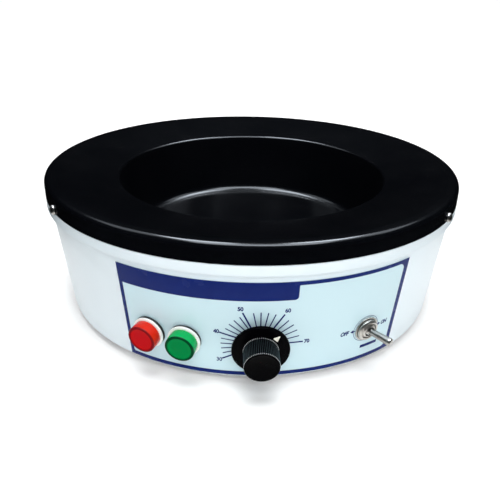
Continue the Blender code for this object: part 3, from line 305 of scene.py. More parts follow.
def axis_places(tree):
    """A turned piece's own position, its height along the axis and its distance from the axis."""
    place = add(tree, "TexCoord", {}, {}).outputs["Object"]
    level = add(tree, "SeparateXYZ", {}, {"Vector": place}).outputs["Z"]
    flat = add(tree, "VectorMath", {"operation": "MULTIPLY", 1: (1.0, 1.0, 0.0)}, {0: place}).outputs["Vector"]
    reach = add(tree, "VectorMath", {"operation": "LENGTH"}, {0: flat}).outputs["Value"]
    return place, level, reach


def start_material(name):
    made = bpy.data.materials.new(name)
    made.use_nodes = True
    tree = made.node_tree
    return made, tree, tree.nodes["Principled BSDF"]


def finish(name, tones, patch, rough, grain, relief, metallic=0.0, ior=1.5, level=0.5,
           stretch=(1.0, 1.0, 1.0), cells=False):
    """A surface whose colour and gloss wander in patches, with a fine relief of its grain.

    patch and grain are real sizes in metres, and relief is the depth of the grain.
    """
    made, tree, shader = start_material(name)
    place = add(tree, "TexCoord", {}, {}).outputs["Object"]
    lay = add(tree, "Mapping", {"Scale": stretch}, {"Vector": place}).outputs["Vector"]
    wander = add(tree, "TexNoise", {"Scale": 1 / patch, "Detail": 3.0}, {"Vector": lay}).outputs["Fac"]
    if cells:
        cell = add(tree, "TexVoronoi", {"Scale": 1 / patch}, {"Vector": lay}).outputs["Color"]
        wander = add(tree, "SeparateColor", {}, {"Color": cell}).outputs["Red"]
    stops = [(0.3, tones[0]), (0.7, tones[-1])]
    ramp = add(tree, "ValToRGB", {"stops": stops}, {"Fac": wander})
    gloss = fade(tree, wander, (0.3, 0.7), rough)
    fine = add(tree, "TexNoise", {"Scale": 1 / grain, "Detail": 2.0}, {"Vector": lay}).outputs["Fac"]
    bump = add(tree, "Bump", {"Distance": relief}, {"Height": fine})
    settle(tree, shader, {"Metallic": metallic},
           {"Base Color": ramp.outputs["Color"], "Roughness": gloss, "Normal": bump.outputs["Normal"]})
    if not metallic:
        settle(tree, shader, {"IOR": ior, "Specular IOR Level": level}, {})
    return made


def polish_crests(made, tint, ends):
    """The crests of the knob's grip, found by their distance from its axis, are painted lighter as a painted
    highlight and made glossier.

    Both ends of each crest are painted the lightest, as painted glints.
    """
    tree = made.node_tree
    shader = tree.nodes["Principled BSDF"]
    _, level, reach = axis_places(tree)
    middle = add(tree, "Math", {"operation": "COMPARE", 1: (KNOB_FACE + KNOB_TOP) / 2,
                                2: (KNOB_TOP - KNOB_FACE) / 2 - GRIP_ROUND}, {0: level}).outputs["Value"]
    width = fade(tree, middle, levels=(GRIP_ROUND / 2 + FLUTE_DEPTH * 0.45, GRIP_ROUND / 2 + FLUTE_DEPTH / 3))
    near = add(tree, "Math", {"operation": "COMPARE", 1: KNOB_CAP_RADIUS + GRIP_ROUND / 2},
               {0: reach, 2: width}).outputs["Value"]
    above = add(tree, "Math", {"operation": "GREATER_THAN", 1: KNOB_FACE + SEAT_GAP / 2},
                {0: level}).outputs["Value"]
    crest = add(tree, "Math", {"operation": "MULTIPLY"}, {0: near, 1: above}).outputs["Value"]
    old = shader.inputs["Base Color"].links[0].from_socket
    # Painted highlight: the crests take a lighter tint, and their ends the lightest tint, as painted glints.
    crest_highlight_tints = add(tree, "ValToRGB", {"stops": [(0.0, ends), (1.0, tint)]}, {"Fac": middle})
    both = add(tree, "Mix", {"data_type": "RGBA"}, {"Factor": crest, 6: old, 7: crest_highlight_tints.outputs["Color"]})
    settle(tree, shader, {}, {"Base Color": both.outputs[2],
                              "Specular IOR Level": fade(tree, crest, levels=(0.015, 0.3))})
    return made


def moulded_lens(name, face, side, rim):
    """Clear-coloured polycarbonate, moulded: its side is painted brighter as a painted glow of light coming through
    the plastic, its face is deeper and its lip darkest.
    """
    made, tree, shader = start_material(name)
    place, level, reach = axis_places(tree)
    top = LAMP_LEVELS["lens"][1]
    on_face = fade(tree, level, (top - 0.0009, top - 0.0004))
    on_lip = fade(tree, reach, (LENS_FACE - 0.0004, LENS_FACE + 0.0003))
    faces = add(tree, "ValToRGB", {"stops": [(0.0, face), (1.0, rim)]}, {"Fac": on_lip})
    # Painted glow: the side's tone is lighter than the face's, standing in for light coming through the lens.
    both = add(tree, "Mix", {"data_type": "RGBA", "A": tone(side)}, {"Factor": on_face, 7: faces.outputs["Color"]})
    ripple = add(tree, "TexNoise", {"Scale": 1 / 0.004, "Detail": 1.0}, {"Vector": place}).outputs["Fac"]
    bump = add(tree, "Bump", {"Distance": 0.00003}, {"Height": ripple})
    sheen = fade(tree, reach, (LENS_RADIUS - 0.0004, LENS_RADIUS - 0.0001), (0.015, 0.16))
    settle(tree, shader, {"IOR": 1.58}, {
        "Base Color": both.outputs[2],
        "Roughness": fade(tree, ripple, levels=(0.08, 0.16)),
        "Normal": bump.outputs["Normal"],
        "Specular IOR Level": sheen,
    })
    return made


def make_finishes():
    return {
        # Stove enamel sprayed on spun steel: near black and satin, its sheen broken by orange peel.
        "black_enamel": finish("stove_enamel", ("040508", "06070A"), 0.045, (0.16, 0.20), 0.0022,
                               0.000006, level=0.2),
        # Powder coat baked on steel: an even white with a soft pebbled gloss.
        "white_powder_coat": finish("powder_coat", ("E0ECF2", "E4F0F5"), 0.06, (0.30, 0.38), 0.0018,
                                    0.000020),
        # Polyester overlay film, printed on its back: pale blue, slightly cloudy, smooth.
        "label_film": finish("polyester_film", ("C6E1E9", "C8E3EA"), 0.08, (0.24, 0.27), 0.0012,
                             0.000004),
        # Screen ink: deep navy, a little uneven in its cover.
        "navy_ink": finish("screen_ink", ("0A1E62", "0E2368"), 0.010, (0.24, 0.28), 0.0008, 0.000003, level=0.10),
        # Chrome plate over polished steel: mirror bright, with faint handling marks.
        "bright_chrome": finish("chrome_plate", ("A09D98", "ACA9A4"), 0.004, (0.26, 0.34), 0.0008,
                                0.000004, metallic=1.0),
        # Nickel plate over turned brass: warm grey, with the lathe's fine rings.
        "nickel_plate": finish("nickel_plate", ("B9B5AE", "C6C2BB"), 0.004, (0.36, 0.46), 0.0005,
                               0.000008, metallic=1.0),
        # Zinc-plated sheet: cool grey crystals of slightly different brightness.
        "zinc_steel": finish("zinc_plate", ("A9ACAF", "C2C5C8"), 0.006, (0.28, 0.45), 0.0008,
                             0.000006, metallic=1.0, cells=True),
        # Moulded lenses with face, side and lip tones: the side tone is painted brighter, as a painted glow.
        "red_lens": moulded_lens("red_polycarbonate", "B80D15", "D0240F", "760A12"),
        "green_lens": moulded_lens("green_polycarbonate", "027D3E", "02A352", "023E22"),
        # Moulded nylon: milky white, half matt.
        "white_nylon": finish("moulded_nylon", ("F6F7F5", "FAFBF9"), 0.008, (0.38, 0.46), 0.0006,
                              0.000010, ior=1.53),
        # Moulded rubber: black gone dusty grey, matt.
        "black_rubber": finish("moulded_rubber", ("111113", "1C1C1E"), 0.005, (0.62, 0.78), 0.0007,
                               0.00003, ior=1.52),
        # Phenolic moulding, polished in the tool: deep black with a soft gloss. The knob's crests are painted
        # lighter as a painted highlight, and lightest at both ends as painted glints.
        "black_phenolic": polish_crests(finish("polished_phenolic_painted_crest_highlights", ("020203", "040405"), 0.006,
                                               (0.20, 0.26), 0.0009, 0.000004, ior=1.55), "39464B",
                                        "E2E7E9"),
        # Filling paint in the pointer: cream, brushed on.
        "pointer_white": finish("filling_paint", ("F6F3E6", "FCFAF0"), 0.0012, (0.40, 0.52), 0.0004,
                                0.000012),
        # Phenolic filled with wood flour: brown, speckled.
        "brown_phenolic": finish("filled_phenolic", ("2E1B11", "4A3022"), 0.0015, (0.38, 0.52),
                                 0.0008, 0.00002, ior=1.55),
        # Drawn copper, handled: warm, with dull patches.
        "copper": finish("drawn_copper", ("A9603E", "C98560"), 0.005, (0.24, 0.42), 0.0008, 0.00001,
                         metallic=1.0),
        # Pressed mica board: tan flakes of different brightness.
        "mica_board": finish("pressed_mica", ("A3977B", "CDC3A8"), 0.005, (0.40, 0.70), 0.0012,
                             0.00004, ior=1.58, cells=True),
        # Glass wool mat: matted pale yellow fibres, lying flat.
        "glass_wool": finish("glass_wool", ("D5C88C", "EFE7BF"), 0.003, (0.88, 1.0), 0.0006, 0.0003,
                             stretch=(1.0, 4.0, 4.0)),
        # Turned brass, lightly tarnished.
        "brass": finish("turned_brass", ("B98F3C", "D0AC5A"), 0.003, (0.24, 0.38), 0.0006, 0.000008,
                        metallic=1.0),
        # PVC wire covers: smooth and waxy.
        "wire_red": finish("red_pvc", ("A82126", "BC2C31"), 0.006, (0.38, 0.50), 0.001, 0.00001),
        "wire_black": finish("black_pvc", ("171719", "202022"), 0.006, (0.38, 0.50), 0.001, 0.00001),
        "wire_blue": finish("blue_pvc", ("1F4294", "2A4FA6"), 0.006, (0.38, 0.50), 0.001, 0.00001),
    }


# Outlines

def fillet(before, corner, after, radius):
    """The points of a round corner, or the corner itself where its radius is zero."""
    a = Vector(before) - Vector(corner)
    b = Vector(after) - Vector(corner)
    if radius <= 0 or a.length == 0 or b.length == 0:
        return [tuple(corner)]
    half = a.angle(b) / 2
    reach = min(radius / tan(half), 0.49 * a.length, 0.49 * b.length)
    radius = reach * tan(half)
    centre = Vector(corner) + (a.normalized() + b.normalized()).normalized() * (radius / sin(half))
    start = Vector(corner) + a.normalized() * reach - centre
    end = Vector(corner) + b.normalized() * reach - centre
    sweep = start.angle_signed(end)
    steps = min(max(round(radius * abs(sweep) / FILLET_PITCH), 2), FILLET_STEPS)
    points = []
    for i in range(steps + 1):
        turn = -sweep * i / steps
        points.append((
            centre.x + start.x * cos(turn) - start.y * sin(turn),
            centre.y + start.x * sin(turn) + start.y * cos(turn),
        ))
    return points


def rounded(corners, closed=True):
    """An outline from corners (x, y, radius), with each corner rounded."""
    points = []
    count = len(corners)
    for i, (x, y, radius) in enumerate(corners):
        if not closed and i in (0, count - 1):
            points.append((x, y))
            continue
        points.extend(fillet(corners[i - 1][:2], (x, y), corners[(i + 1) % count][:2], radius))
    return points


def offset_corners(corners, distance):
    """The corners of an open path, moved to its right by a distance, with matching radii."""
    moved = []
    for i, (x, y, radius) in enumerate(corners):
        here = Vector((x, y))
        sides = []
        if i > 0:
            sides.append((here - Vector(corners[i - 1][:2])).normalized())
        if i < len(corners) - 1:
            sides.append((Vector(corners[i + 1][:2]) - here).normalized())
        normals = [Vector((s.y, -s.x)) for s in sides]
        if len(normals) == 1:
            shift = normals[0] * distance
        else:
            middle = (normals[0] + normals[1]).normalized()
            shift = middle * (distance / middle.dot(normals[0]))
            turn = sides[0].x * sides[1].y - sides[0].y * sides[1].x
            radius += distance if turn > 0 else -distance
        moved.append((x + shift.x, y + shift.y, max(radius, 0.0)))
    return moved


def sheet(corners, thickness):
    """The closed outline of a formed sheet whose visible side follows the corners."""
    front = rounded(corners, closed=False)
    back = rounded(offset_corners(corners, thickness), closed=False)
    return front + back[::-1]


def ring(inner, outer, bottom, top, edge=0.0):
    return rounded([(inner, bottom, 0.0), (outer, bottom, edge), (outer, top, edge), (inner, top, edge / 2)])


def circle(radius, steps=PART_STEPS):
    turns = [2 * pi * (i + 0.5) / steps for i in range(steps)]
    return [(radius * cos(turn), radius * sin(turn)) for turn in turns]


# Meshes

def add_lathe(bm, outline, steps=PART_STEPS, place=None, radial=None):
    """Spin a closed outline in (radius, height) round Z; radial may change a radius by its turn."""
    place = place or Matrix.Identity(4)
    loops = []
    for radius, height in outline:
        if radius < ON_AXIS:
            loops.append([bm.verts.new(place @ Vector((0.0, 0.0, height)))])
            continue
        loop = []
        for k in range(steps):
            turn = 2 * pi * k / steps
            reach = radial(radius, height, k) if radial else radius
            loop.append(bm.verts.new(place @ Vector((reach * cos(turn), reach * sin(turn), height))))
        loops.append(loop)
    for one, other in zip(loops, loops[1:] + loops[:1]):
        for k in range(steps):
            after = (k + 1) % steps
            corners = []
            for loop, i in ((one, k), (one, after), (other, after), (other, k)):
                vert = loop[i % len(loop)]
                if vert not in corners:
                    corners.append(vert)
            if len(corners) > 2:
                bm.faces.new(corners)


def add_prism(bm, outline, bottom, top, place=None):
    """An outline in (x, y), raised from one height to another."""
    place = place or Matrix.Identity(4)
    low = [bm.verts.new(place @ Vector((x, y, bottom))) for x, y in outline]
    high = [bm.verts.new(place @ Vector((x, y, top))) for x, y in outline]
    bm.faces.new(low[::-1])
    bm.faces.new(high)
    for i in range(len(outline)):
        j = (i + 1) % len(outline)
        bm.faces.new((low[i], low[j], high[j], high[i]))


def smooth(mesh):
    mesh.shade_smooth()
    mesh.set_sharp_from_angle(angle=SHARP_ANGLE)


def make_piece(name, bm, place=None):
    """Turn a bmesh into an object at its place."""
    bmesh.ops.recalc_face_normals(bm, faces=bm.faces)
    mesh = bpy.data.meshes.new(name)
    bm.to_mesh(mesh)
    bm.free()
    smooth(mesh)
    made = bpy.data.objects.new(name, mesh)
    bpy.context.scene.collection.objects.link(made)
    made.matrix_world = place or Matrix.Identity(4)
    return made


def turn_piece(name, outline, place=None, steps=PART_STEPS, radial=None):
    """Spin an outline into an object at its place."""
    bm = bmesh.new()
    add_lathe(bm, outline, steps, radial=radial)
    return make_piece(name, bm, place)


def cut(piece, tools):
    """Cut solids out of a piece, and keep the result as its mesh."""
    bmesh.ops.recalc_face_normals(tools, faces=tools.faces)
    tool = make_piece(piece.name + "_tools", tools)
    change = piece.modifiers.new("cut", "BOOLEAN")
    change.operation = "DIFFERENCE"
    change.solver = "EXACT"
    change.object = tool
    tool.matrix_world = piece.matrix_world
    bpy.context.view_layer.update()
    ready = piece.evaluated_get(bpy.context.evaluated_depsgraph_get())
    piece.data = bpy.data.meshes.new_from_object(ready)
    piece.modifiers.clear()
    bpy.data.objects.remove(tool)
    smooth(piece.data)


def dress(piece, finishes, slot, body="bath", node=None):
    """Give a piece its finish, its body and the solid that it stands for."""
    piece.data.materials.clear()
    piece.data.materials.append(finishes[slot])
    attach(piece, body)
    if node:
        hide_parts(node)
    return piece


# Places

def wall_radius(height):
    share = (height - BODY_BOTTOM) / (COLLAR_BOTTOM - COLLAR_UNDERCUT - BODY_BOTTOM)
    return FOOT_END_RADIUS + (WAIST_RADIUS - FOOT_END_RADIUS) * share


def polar(radius, turn, height):
    """A point by its turn from the front, positive to the user's right."""
    return Vector((radius * sin(turn), -radius * cos(turn), height))


def panel_station(turn, height):
    """A frame on the wall's outside: X to the right, Y up the wall and Z straight out."""
    right = Vector((cos(turn), sin(turn), 0.0))
    flat_out = Vector((sin(turn), -cos(turn), 0.0))
    out = flat_out * cos(WALL_LEAN) + Vector((0, 0, -sin(WALL_LEAN)))
    place = Matrix((right, out.cross(right), out)).transposed().to_4x4()
    place.translation = polar(wall_radius(height), turn, height)
    return place


def control_station(arc):
    return panel_station(arc / wall_radius(CONTROL_Z), CONTROL_Z)


def radial_station(turn, radius, height):
    """A frame whose Z points straight out from the bowl's axis."""
    right = Vector((cos(turn), sin(turn), 0.0))
    out = Vector((sin(turn), -cos(turn), 0.0))
    place = Matrix((right, Vector((0, 0, 1)), out)).transposed().to_4x4()
    place.translation = polar(radius, turn, height)
    return place


def floor_station(radius, angle):
    return Matrix.Translation(polar(radius, radians(angle), 0.0))


# Pan and housing

def make_pan(finishes):
    """The spun pan, with slots in its skirt that drop over the screws."""
    corners = [
        (0.0, BOWL_FLOOR, 0.0),
        (BOWL_FLOOR_RADIUS, BOWL_FLOOR, BOWL_CORNER),
        (BOWL_RADIUS, BOWL_EDGE, BOWL_EDGE_ROUND),
        (PAN_RADIUS - CROWN_WIDTH, RIM_CREST, CROWN_ROUND),
        (PAN_RADIUS, RIM_CREST, SHOULDER_ROUND),
        (PAN_RADIUS, COLLAR_TOP + SEAT_GAP, 0.0),
    ]
    pan = turn_piece("pan_shell", sheet(corners, PAN_THICK), steps=SHELL_STEPS)
    tools = bmesh.new()
    half = PAN_SCREW_SHANK + HOLE_GAP
    steps = 12
    slot = [(half * cos(i * pi / steps), half * sin(i * pi / steps)) for i in range(steps + 1)]
    slot += [(-half, -PAN_SCREW_RISE - OVERRUN), (half, -PAN_SCREW_RISE - OVERRUN)]
    for angle in PAN_SCREW_ANGLES.values():
        place = radial_station(radians(angle), PAN_RADIUS, COLLAR_TOP + PAN_SCREW_RISE)
        add_prism(tools, slot, -PAN_SCREW_HEAD, PAN_SCREW_HEAD, place)
    cut(pan, tools)
    dress(pan, finishes, "black_enamel", node="bowl_pan")


def make_housing(finishes):
    """The white body: neck, collar, tapered wall and foot flange in one sheet."""
    corners = [
        (NECK_RADIUS, COLLAR_TOP + NECK_HEIGHT, 0.0),
        (NECK_RADIUS, COLLAR_TOP, 0.0),
        (PAN_RADIUS, COLLAR_TOP, COLLAR_ROUND),
        (PAN_RADIUS, COLLAR_BOTTOM, 2 * COLLAR_ROUND),
        (WAIST_RADIUS, COLLAR_BOTTOM - COLLAR_UNDERCUT, COLLAR_ROUND),
        (FOOT_END_RADIUS, BODY_BOTTOM, WALL_CORNER),
        (FOOT_END_RADIUS - FLANGE_WIDTH, BODY_BOTTOM, 0.0),
    ]
    housing = turn_piece("housing_shell", sheet(corners, WALL_THICK), steps=SHELL_STEPS)
    tools = bmesh.new()
    through = WALL_THICK + OVERRUN
    holes = [
        (control_station(RED_LAMP_ARC), BARREL_RADIUS),
        (control_station(GREEN_LAMP_ARC), BARREL_RADIUS),
        (control_station(KNOB_ARC), SHAFT_HOLE),
        (control_station(SWITCH_ARC), BUSHING_RADIUS),
        (panel_station(pi, BODY_BOTTOM + GLAND_HEIGHT), GLAND_THREAD),
    ]
    for side in (-PLATE_SCREW_SIDE, PLATE_SCREW_SIDE):
        holes.append((control_station(KNOB_ARC) @ Matrix.Translation((side, 0, 0)), PAN_SCREW_SHANK))
    for angle in PAN_SCREW_ANGLES.values():
        place = radial_station(radians(angle), NECK_RADIUS, COLLAR_TOP + PAN_SCREW_RISE)
        holes.append((place, PAN_SCREW_SHANK))
    for place, radius in holes:
        add_prism(tools, circle(radius + HOLE_GAP), -through, through, place)
    for angle in BASE_SCREW_ANGLES:
        place = floor_station(FOOT_END_RADIUS - FLANGE_WIDTH / 2, angle)
        add_prism(tools, circle(SCREW_SHANK + HOLE_GAP), FOOT_HEIGHT, FOOT_HEIGHT + SCREW_LENGTH, place)
    cut(housing, tools)
    dress(housing, finishes, "white_powder_coat", node="housing")


def make_base(finishes):
    """The plated base plate and the rubber feet under it."""
    disc = ring(0.0, FOOT_END_RADIUS - BASE_LIP, FOOT_HEIGHT, FOOT_HEIGHT + BASE_THICK, BASE_THICK / 4)
    plate = turn_piece("base_plate_disc", disc, steps=SHELL_STEPS)
    tools = bmesh.new()
    places = [floor_station(FOOT_END_RADIUS - FLANGE_WIDTH / 2, angle) for angle in BASE_SCREW_ANGLES]
    places += [floor_station(FOOT_CIRCLE, angle) for angle in FOOT_ANGLES.values()]
    places += [floor_station(BLOCK_CIRCLE, angle) for angle in BLOCK_ANGLES]
    for place in places:
        add_prism(tools, circle(SCREW_SHANK + HOLE_GAP), 0.0, FOOT_HEIGHT + BASE_THICK + OVERRUN, place)
    cut(plate, tools)
    dress(plate, finishes, "zinc_steel", node="base_plate")

    sink = 2 * (SCREW_HEAD_HEIGHT + SEAT_GAP)
    well = SCREW_HEAD + HOLE_GAP
    bore = SCREW_SHANK + HOLE_GAP
    top = FOOT_HEIGHT - SEAT_GAP
    outline = rounded([
        (well, 0.0, SEAT_GAP),
        (FOOT_TIP_RADIUS, 0.0, 0.0008),
        (FOOT_RADIUS, top, SEAT_GAP),
        (bore, top, 0.0),
        (bore, sink, 0.0),
        (well, sink, 0.0),
    ])
    for side, angle in FOOT_ANGLES.items():
        foot = turn_piece("rubber_foot_" + side, outline, floor_station(FOOT_CIRCLE, angle))
        dress(foot, finishes, "black_rubber", node="foot_" + side)


def make_pan_screws(finishes):
    """Chrome domed screws with a cross recess."""
    steps = 12
    outline = [
        (0.0, -PAN_SCREW_LENGTH), (PAN_SCREW_SHANK, PAN_SCREW_SHANK - PAN_SCREW_LENGTH), (PAN_SCREW_SHANK, 0.0),
    ]
    for i in range(steps):
        outline.append((PAN_SCREW_HEAD * cos(i * pi / 2 / steps), PAN_SCREW_DOME * sin(i * pi / 2 / steps)))
    outline.append((0.0, PAN_SCREW_DOME))
    long_half, short_half = PAN_SCREW_HEAD / 2.2, PAN_SCREW_HEAD / 8
    arm = [(long_half, short_half), (short_half, short_half), (short_half, long_half)]
    cross = []
    for _ in range(4):
        cross += arm
        arm = [(-y, x) for x, y in arm]
    for side, angle in PAN_SCREW_ANGLES.items():
        place = radial_station(radians(angle), PAN_RADIUS + SEAT_GAP, COLLAR_TOP + PAN_SCREW_RISE)
        screw = turn_piece("chrome_screw_" + side, outline, place, SMALL_STEPS)
        tools = bmesh.new()
        add_prism(tools, cross[::-1], PAN_SCREW_DOME / 2, PAN_SCREW_DOME + OVERRUN)
        cut(screw, tools)
        dress(screw, finishes, "bright_chrome", node="pan_screw_" + side)


# Label and print

def wall_point(turn, height, lift):
    """A point lifted straight out from the wall, by its turn and its height above the ground."""
    return polar(wall_radius(height) + lift / cos(WALL_LEAN), turn, height)


def arc_point(x, y, lift):
    """From an arc round the wall and a height above the housing's foot."""
    return wall_point(x / wall_radius(CONTROL_Z), BODY_BOTTOM + y, lift)


def station_point(centre_arc):
    """A map from a flat print laid on the wall round a control to points on the wall."""
    def place(x, y, lift):
        height = CONTROL_Z + y * cos(WALL_LEAN)
        turn = centre_arc / wall_radius(CONTROL_Z) + x / wall_radius(height)
        return wall_point(turn, height, lift)
    return place


def lay_print(name, bm, to_wall, bottom, top):
    """Slice a flat mesh into narrow columns, thicken it and lay it round the wall."""
    xs = [v.co.x for v in bm.verts]
    for k in range(ceil(min(xs) / PRINT_PITCH), floor(max(xs) / PRINT_PITCH) + 1):
        bmesh.ops.bisect_plane(
            bm, geom=bm.verts[:] + bm.edges[:] + bm.faces[:], dist=ON_AXIS,
            plane_co=(k * PRINT_PITCH, 0, 0), plane_no=(1, 0, 0),
        )
    flat = bm.verts[:]
    raised = bmesh.ops.extrude_face_region(bm, geom=bm.faces[:], use_keep_orig=True)
    high = [g for g in raised["geom"] if isinstance(g, bmesh.types.BMVert)]
    for verts, lift in ((flat, bottom), (high, top)):
        for vert in verts:
            vert.co = to_wall(vert.co.x, vert.co.y, lift)
    return make_piece(name, bm)


def print_ink(finishes, name, bm, to_wall):
    """Lay a flat mesh on the label as a layer of ink."""
    dress(lay_print(name, bm, to_wall, INK_BOTTOM, INK_TOP), finishes, "navy_ink")


def add_flat(bm, outer, holes=()):
    """A flat region with holes, in triangles."""
    loops = [[Vector((x, y, 0.0)) for x, y in loop] for loop in (outer, *holes)]
    verts = [bm.verts.new(point) for loop in loops for point in loop]
    for a, b, c in tessellate_polygon(loops):
        bm.faces.new((verts[a], verts[b], verts[c]))


def add_bar(bm, start, end, width):
    """A straight stroke between two flat points."""
    a, b = Vector(start), Vector(end)
    side = (b - a).normalized().orthogonal() * width / 2
    add_flat(bm, [tuple(p) for p in (a + side, a - side, b - side, b + side)])


def add_words(bm, text, height, centre, slant=0.0, squeeze=1.0):
    """Letters from the built-in typeface, centred on a flat point."""
    curve = bpy.data.curves.new("letters", "FONT")
    curve.body = text
    curve.shear = slant
    curve.offset = THIN_LETTER_WEIGHTS.get(text[0], LETTER_WEIGHT)
    letters = bpy.data.objects.new("letters", curve)
    bpy.context.scene.collection.objects.link(letters)
    bpy.context.view_layer.update()
    mesh = bpy.data.meshes.new_from_object(letters.evaluated_get(bpy.context.evaluated_depsgraph_get()))
    bpy.data.objects.remove(letters)
    xs = [v.co.x for v in mesh.vertices]
    ys = [v.co.y for v in mesh.vertices]
    size = height / (max(ys) - min(ys))
    middle = Vector(((max(xs) + min(xs)) / 2, (max(ys) + min(ys)) / 2, 0.0))
    scale = Matrix.Diagonal((size * squeeze, size, size, 1.0))
    mesh.transform(Matrix.Translation((*centre, 0.0)) @ scale @ Matrix.Translation(-middle))
    bm.from_mesh(mesh)
    bpy.data.meshes.remove(mesh)


def label_window():
    """The pale field of the label, inside the navy border and under the title band."""
    left, right = LABEL_LEFT + BORDER_LEFT, LABEL_RIGHT - BORDER_RIGHT
    low, high = LABEL_FOOT + BORDER_FOOT, LABEL_TOP - BORDER_TOP
    return rounded([
        (left, low, WINDOW_CORNER / 4),
        (right, low, WINDOW_CORNER),
        (right, high, WINDOW_CORNER),
        (BAND_RIGHT, high, WINDOW_CORNER / 8),
        (BAND_RIGHT, BAND_RIGHT_LOW, BAND_CORNER),
        (left, BAND_LEFT_LOW, 0.0),
    ])


def make_label(finishes):
    """The film with its holes, and its printed border and title band."""
    outer = [
        (LABEL_LEFT, LABEL_FOOT), (LABEL_RIGHT, LABEL_FOOT),
        (LABEL_RIGHT, LABEL_TOP), (LABEL_LEFT, LABEL_TOP),
    ]
    holes = []
    for arc, radius in (
        (RED_LAMP_ARC, BARREL_RADIUS + HOLE_GAP),
        (GREEN_LAMP_ARC, BARREL_RADIUS + HOLE_GAP),
        (KNOB_ARC, KNOB_HOLE),
        (SWITCH_ARC, BUSHING_RADIUS + HOLE_GAP),
    ):
        holes.append([(arc + x, CONTROL_HEIGHT + y * cos(WALL_LEAN)) for x, y in circle(radius)])
    bm = bmesh.new()
    add_flat(bm, outer, holes)
    film = lay_print("label_film_sheet", bm, arc_point, FILM_GAP, FILM_TOP)
    dress(film, finishes, "label_film", node="control_label")

    bm = bmesh.new()
    add_flat(bm, outer, [label_window()])
    print_ink(finishes, "label_border_print", bm, arc_point)


def dial_turn(value):
    """The angle of a dial value, from the right, counter-clockwise."""
    tens = (value - DIAL_FIRST) / DIAL_NUMBER_STEP
    return radians(DIAL_START - DIAL_TURN * tens - DIAL_STRETCH * tens ** 2 + DIAL_SHIFT.get(value, 0.0))


def make_dial_print(finishes):
    """Ticks and numbers of the temperature scale round the knob."""
    bm = bmesh.new()
    for value in range(DIAL_FIRST, DIAL_LAST + 1, DIAL_STEP):
        turn = dial_turn(value)
        out = Vector((cos(turn), sin(turn)))
        numbered = value % DIAL_NUMBER_STEP == 0
        end = LONG_TICK_END if numbered else TICK_END
        add_bar(bm, out * TICK_START, out * end, LONG_TICK_WIDTH if numbered else TICK_WIDTH)
    print_ink(finishes, "dial_tick_print", bm, station_point(KNOB_ARC))
    for value in range(DIAL_FIRST, DIAL_LAST + 1, DIAL_NUMBER_STEP):
        turn = dial_turn(value)
        bm = bmesh.new()
        centre = (NUMBER_RADIUS[value] * cos(turn), NUMBER_RADIUS[value] * sin(turn))
        add_words(bm, str(value), NUMBER_HEIGHT, centre, squeeze=NUMBER_SQUEEZE)
        print_ink(finishes, "dial_number_" + str(value), bm, station_point(KNOB_ARC))


def make_switch_print(finishes):
    """OFF and ON with their arrows, the ring round the washer and the small bar below."""
    radius = wall_radius(CONTROL_Z)
    middle = degrees(SWITCH_ARC / radius)
    for word, angle, arrow_angle, way in SWITCH_WORDS:
        bm = bmesh.new()
        add_words(bm, word, WORD_HEIGHT, (radians(angle - middle) * radius, 0.0), WORD_SLANT, WORD_SQUEEZE)
        tip = radians(arrow_angle - middle) * radius + way * ARROW_SHIFT
        add_bar(bm, (tip - way * ARROW_LENGTH, 0.0), (tip - way * ARROW_NECK, 0.0), ARROW_STROKE)
        barb = tip - way * ARROW_HEAD
        add_flat(bm, [(tip, 0.0), (barb, ARROW_HALF), (barb, -ARROW_HALF)])
        print_ink(finishes, "switch_word_" + word.lower(), bm, station_point(SWITCH_ARC))
    bm = bmesh.new()
    add_flat(bm, circle(SWITCH_RING[1]), [circle(SWITCH_RING[0])])
    print_ink(finishes, "switch_ring_print", bm, station_point(SWITCH_ARC))
    bm = bmesh.new()
    x = radians(SMALL_BAR_ANGLE) * radius
    add_bar(bm, (x - SMALL_BAR_HALF, SMALL_BAR_LEVEL), (x + SMALL_BAR_HALF, SMALL_BAR_LEVEL), SMALL_BAR_WIDTH)
    print_ink(finishes, "small_bar_print", bm, arc_point)


# Signal lamps

def make_lamp(finishes, hue, arc):
    """Rubber gasket, nylon body with its bezel, and the coloured lens with its lip."""
    place = control_station(arc)
    low, high = LAMP_LEVELS["gasket"]
    gasket = turn_piece("lamp_seal_" + hue, ring(BARREL_RADIUS + HOLE_GAP, GASKET_RADIUS[hue], low, high, SEAT_GAP),
                        place)
    for vert in gasket.data.vertices:
        if vert.co.z < (low + high) / 2:
            vert.co.z -= wall_radius(CONTROL_Z) - (wall_radius(CONTROL_Z) ** 2 - vert.co.x ** 2) ** 0.5
    dress(gasket, finishes, "black_rubber", node="lamp_" + hue + "_gasket")

    low, high = LAMP_LEVELS["bezel"]
    edge = (high - low) / 3
    body = turn_piece("lamp_bezel_" + hue, rounded([
        (0.0, -BARREL_LENGTH, 0.0),
        (BARREL_RADIUS, -BARREL_LENGTH, edge),
        (BARREL_RADIUS, low, 0.0),
        (BEZEL_RADIUS, low, edge / 2),
        (BEZEL_RADIUS, high, edge),
        (0.0, high, 0.0),
    ]), place)
    dress(body, finishes, "white_nylon", node="lamp_" + hue + "_body")

    low, high = LAMP_LEVELS["lens"]
    hollow = LENS_RADIUS - LENS_WALL
    sunk = high - LENS_INSET
    lens = turn_piece("lamp_glow_lens_" + hue, rounded([
        (hollow, low, 0.0),
        (LENS_RADIUS, low, 0.0002),
        (LENS_RADIUS, high, LENS_LIP / 2),
        (LENS_FACE, high, LENS_INSET / 2),
        (LENS_FACE - LENS_INSET, sunk, LENS_INSET / 2),
        (LENS_FACE / 2, high - LENS_INSET * 0.7, 0.0),
        (0.0, high - LENS_INSET * 0.6, 0.0),
        (0.0, sunk - LENS_WALL, 0.0),
        (hollow, sunk - LENS_WALL, LENS_LIP / 2),
    ]), place, FINE_STEPS)
    dress(lens, finishes, hue + "_lens", node="lamp_" + hue + "_lens")


# Knob

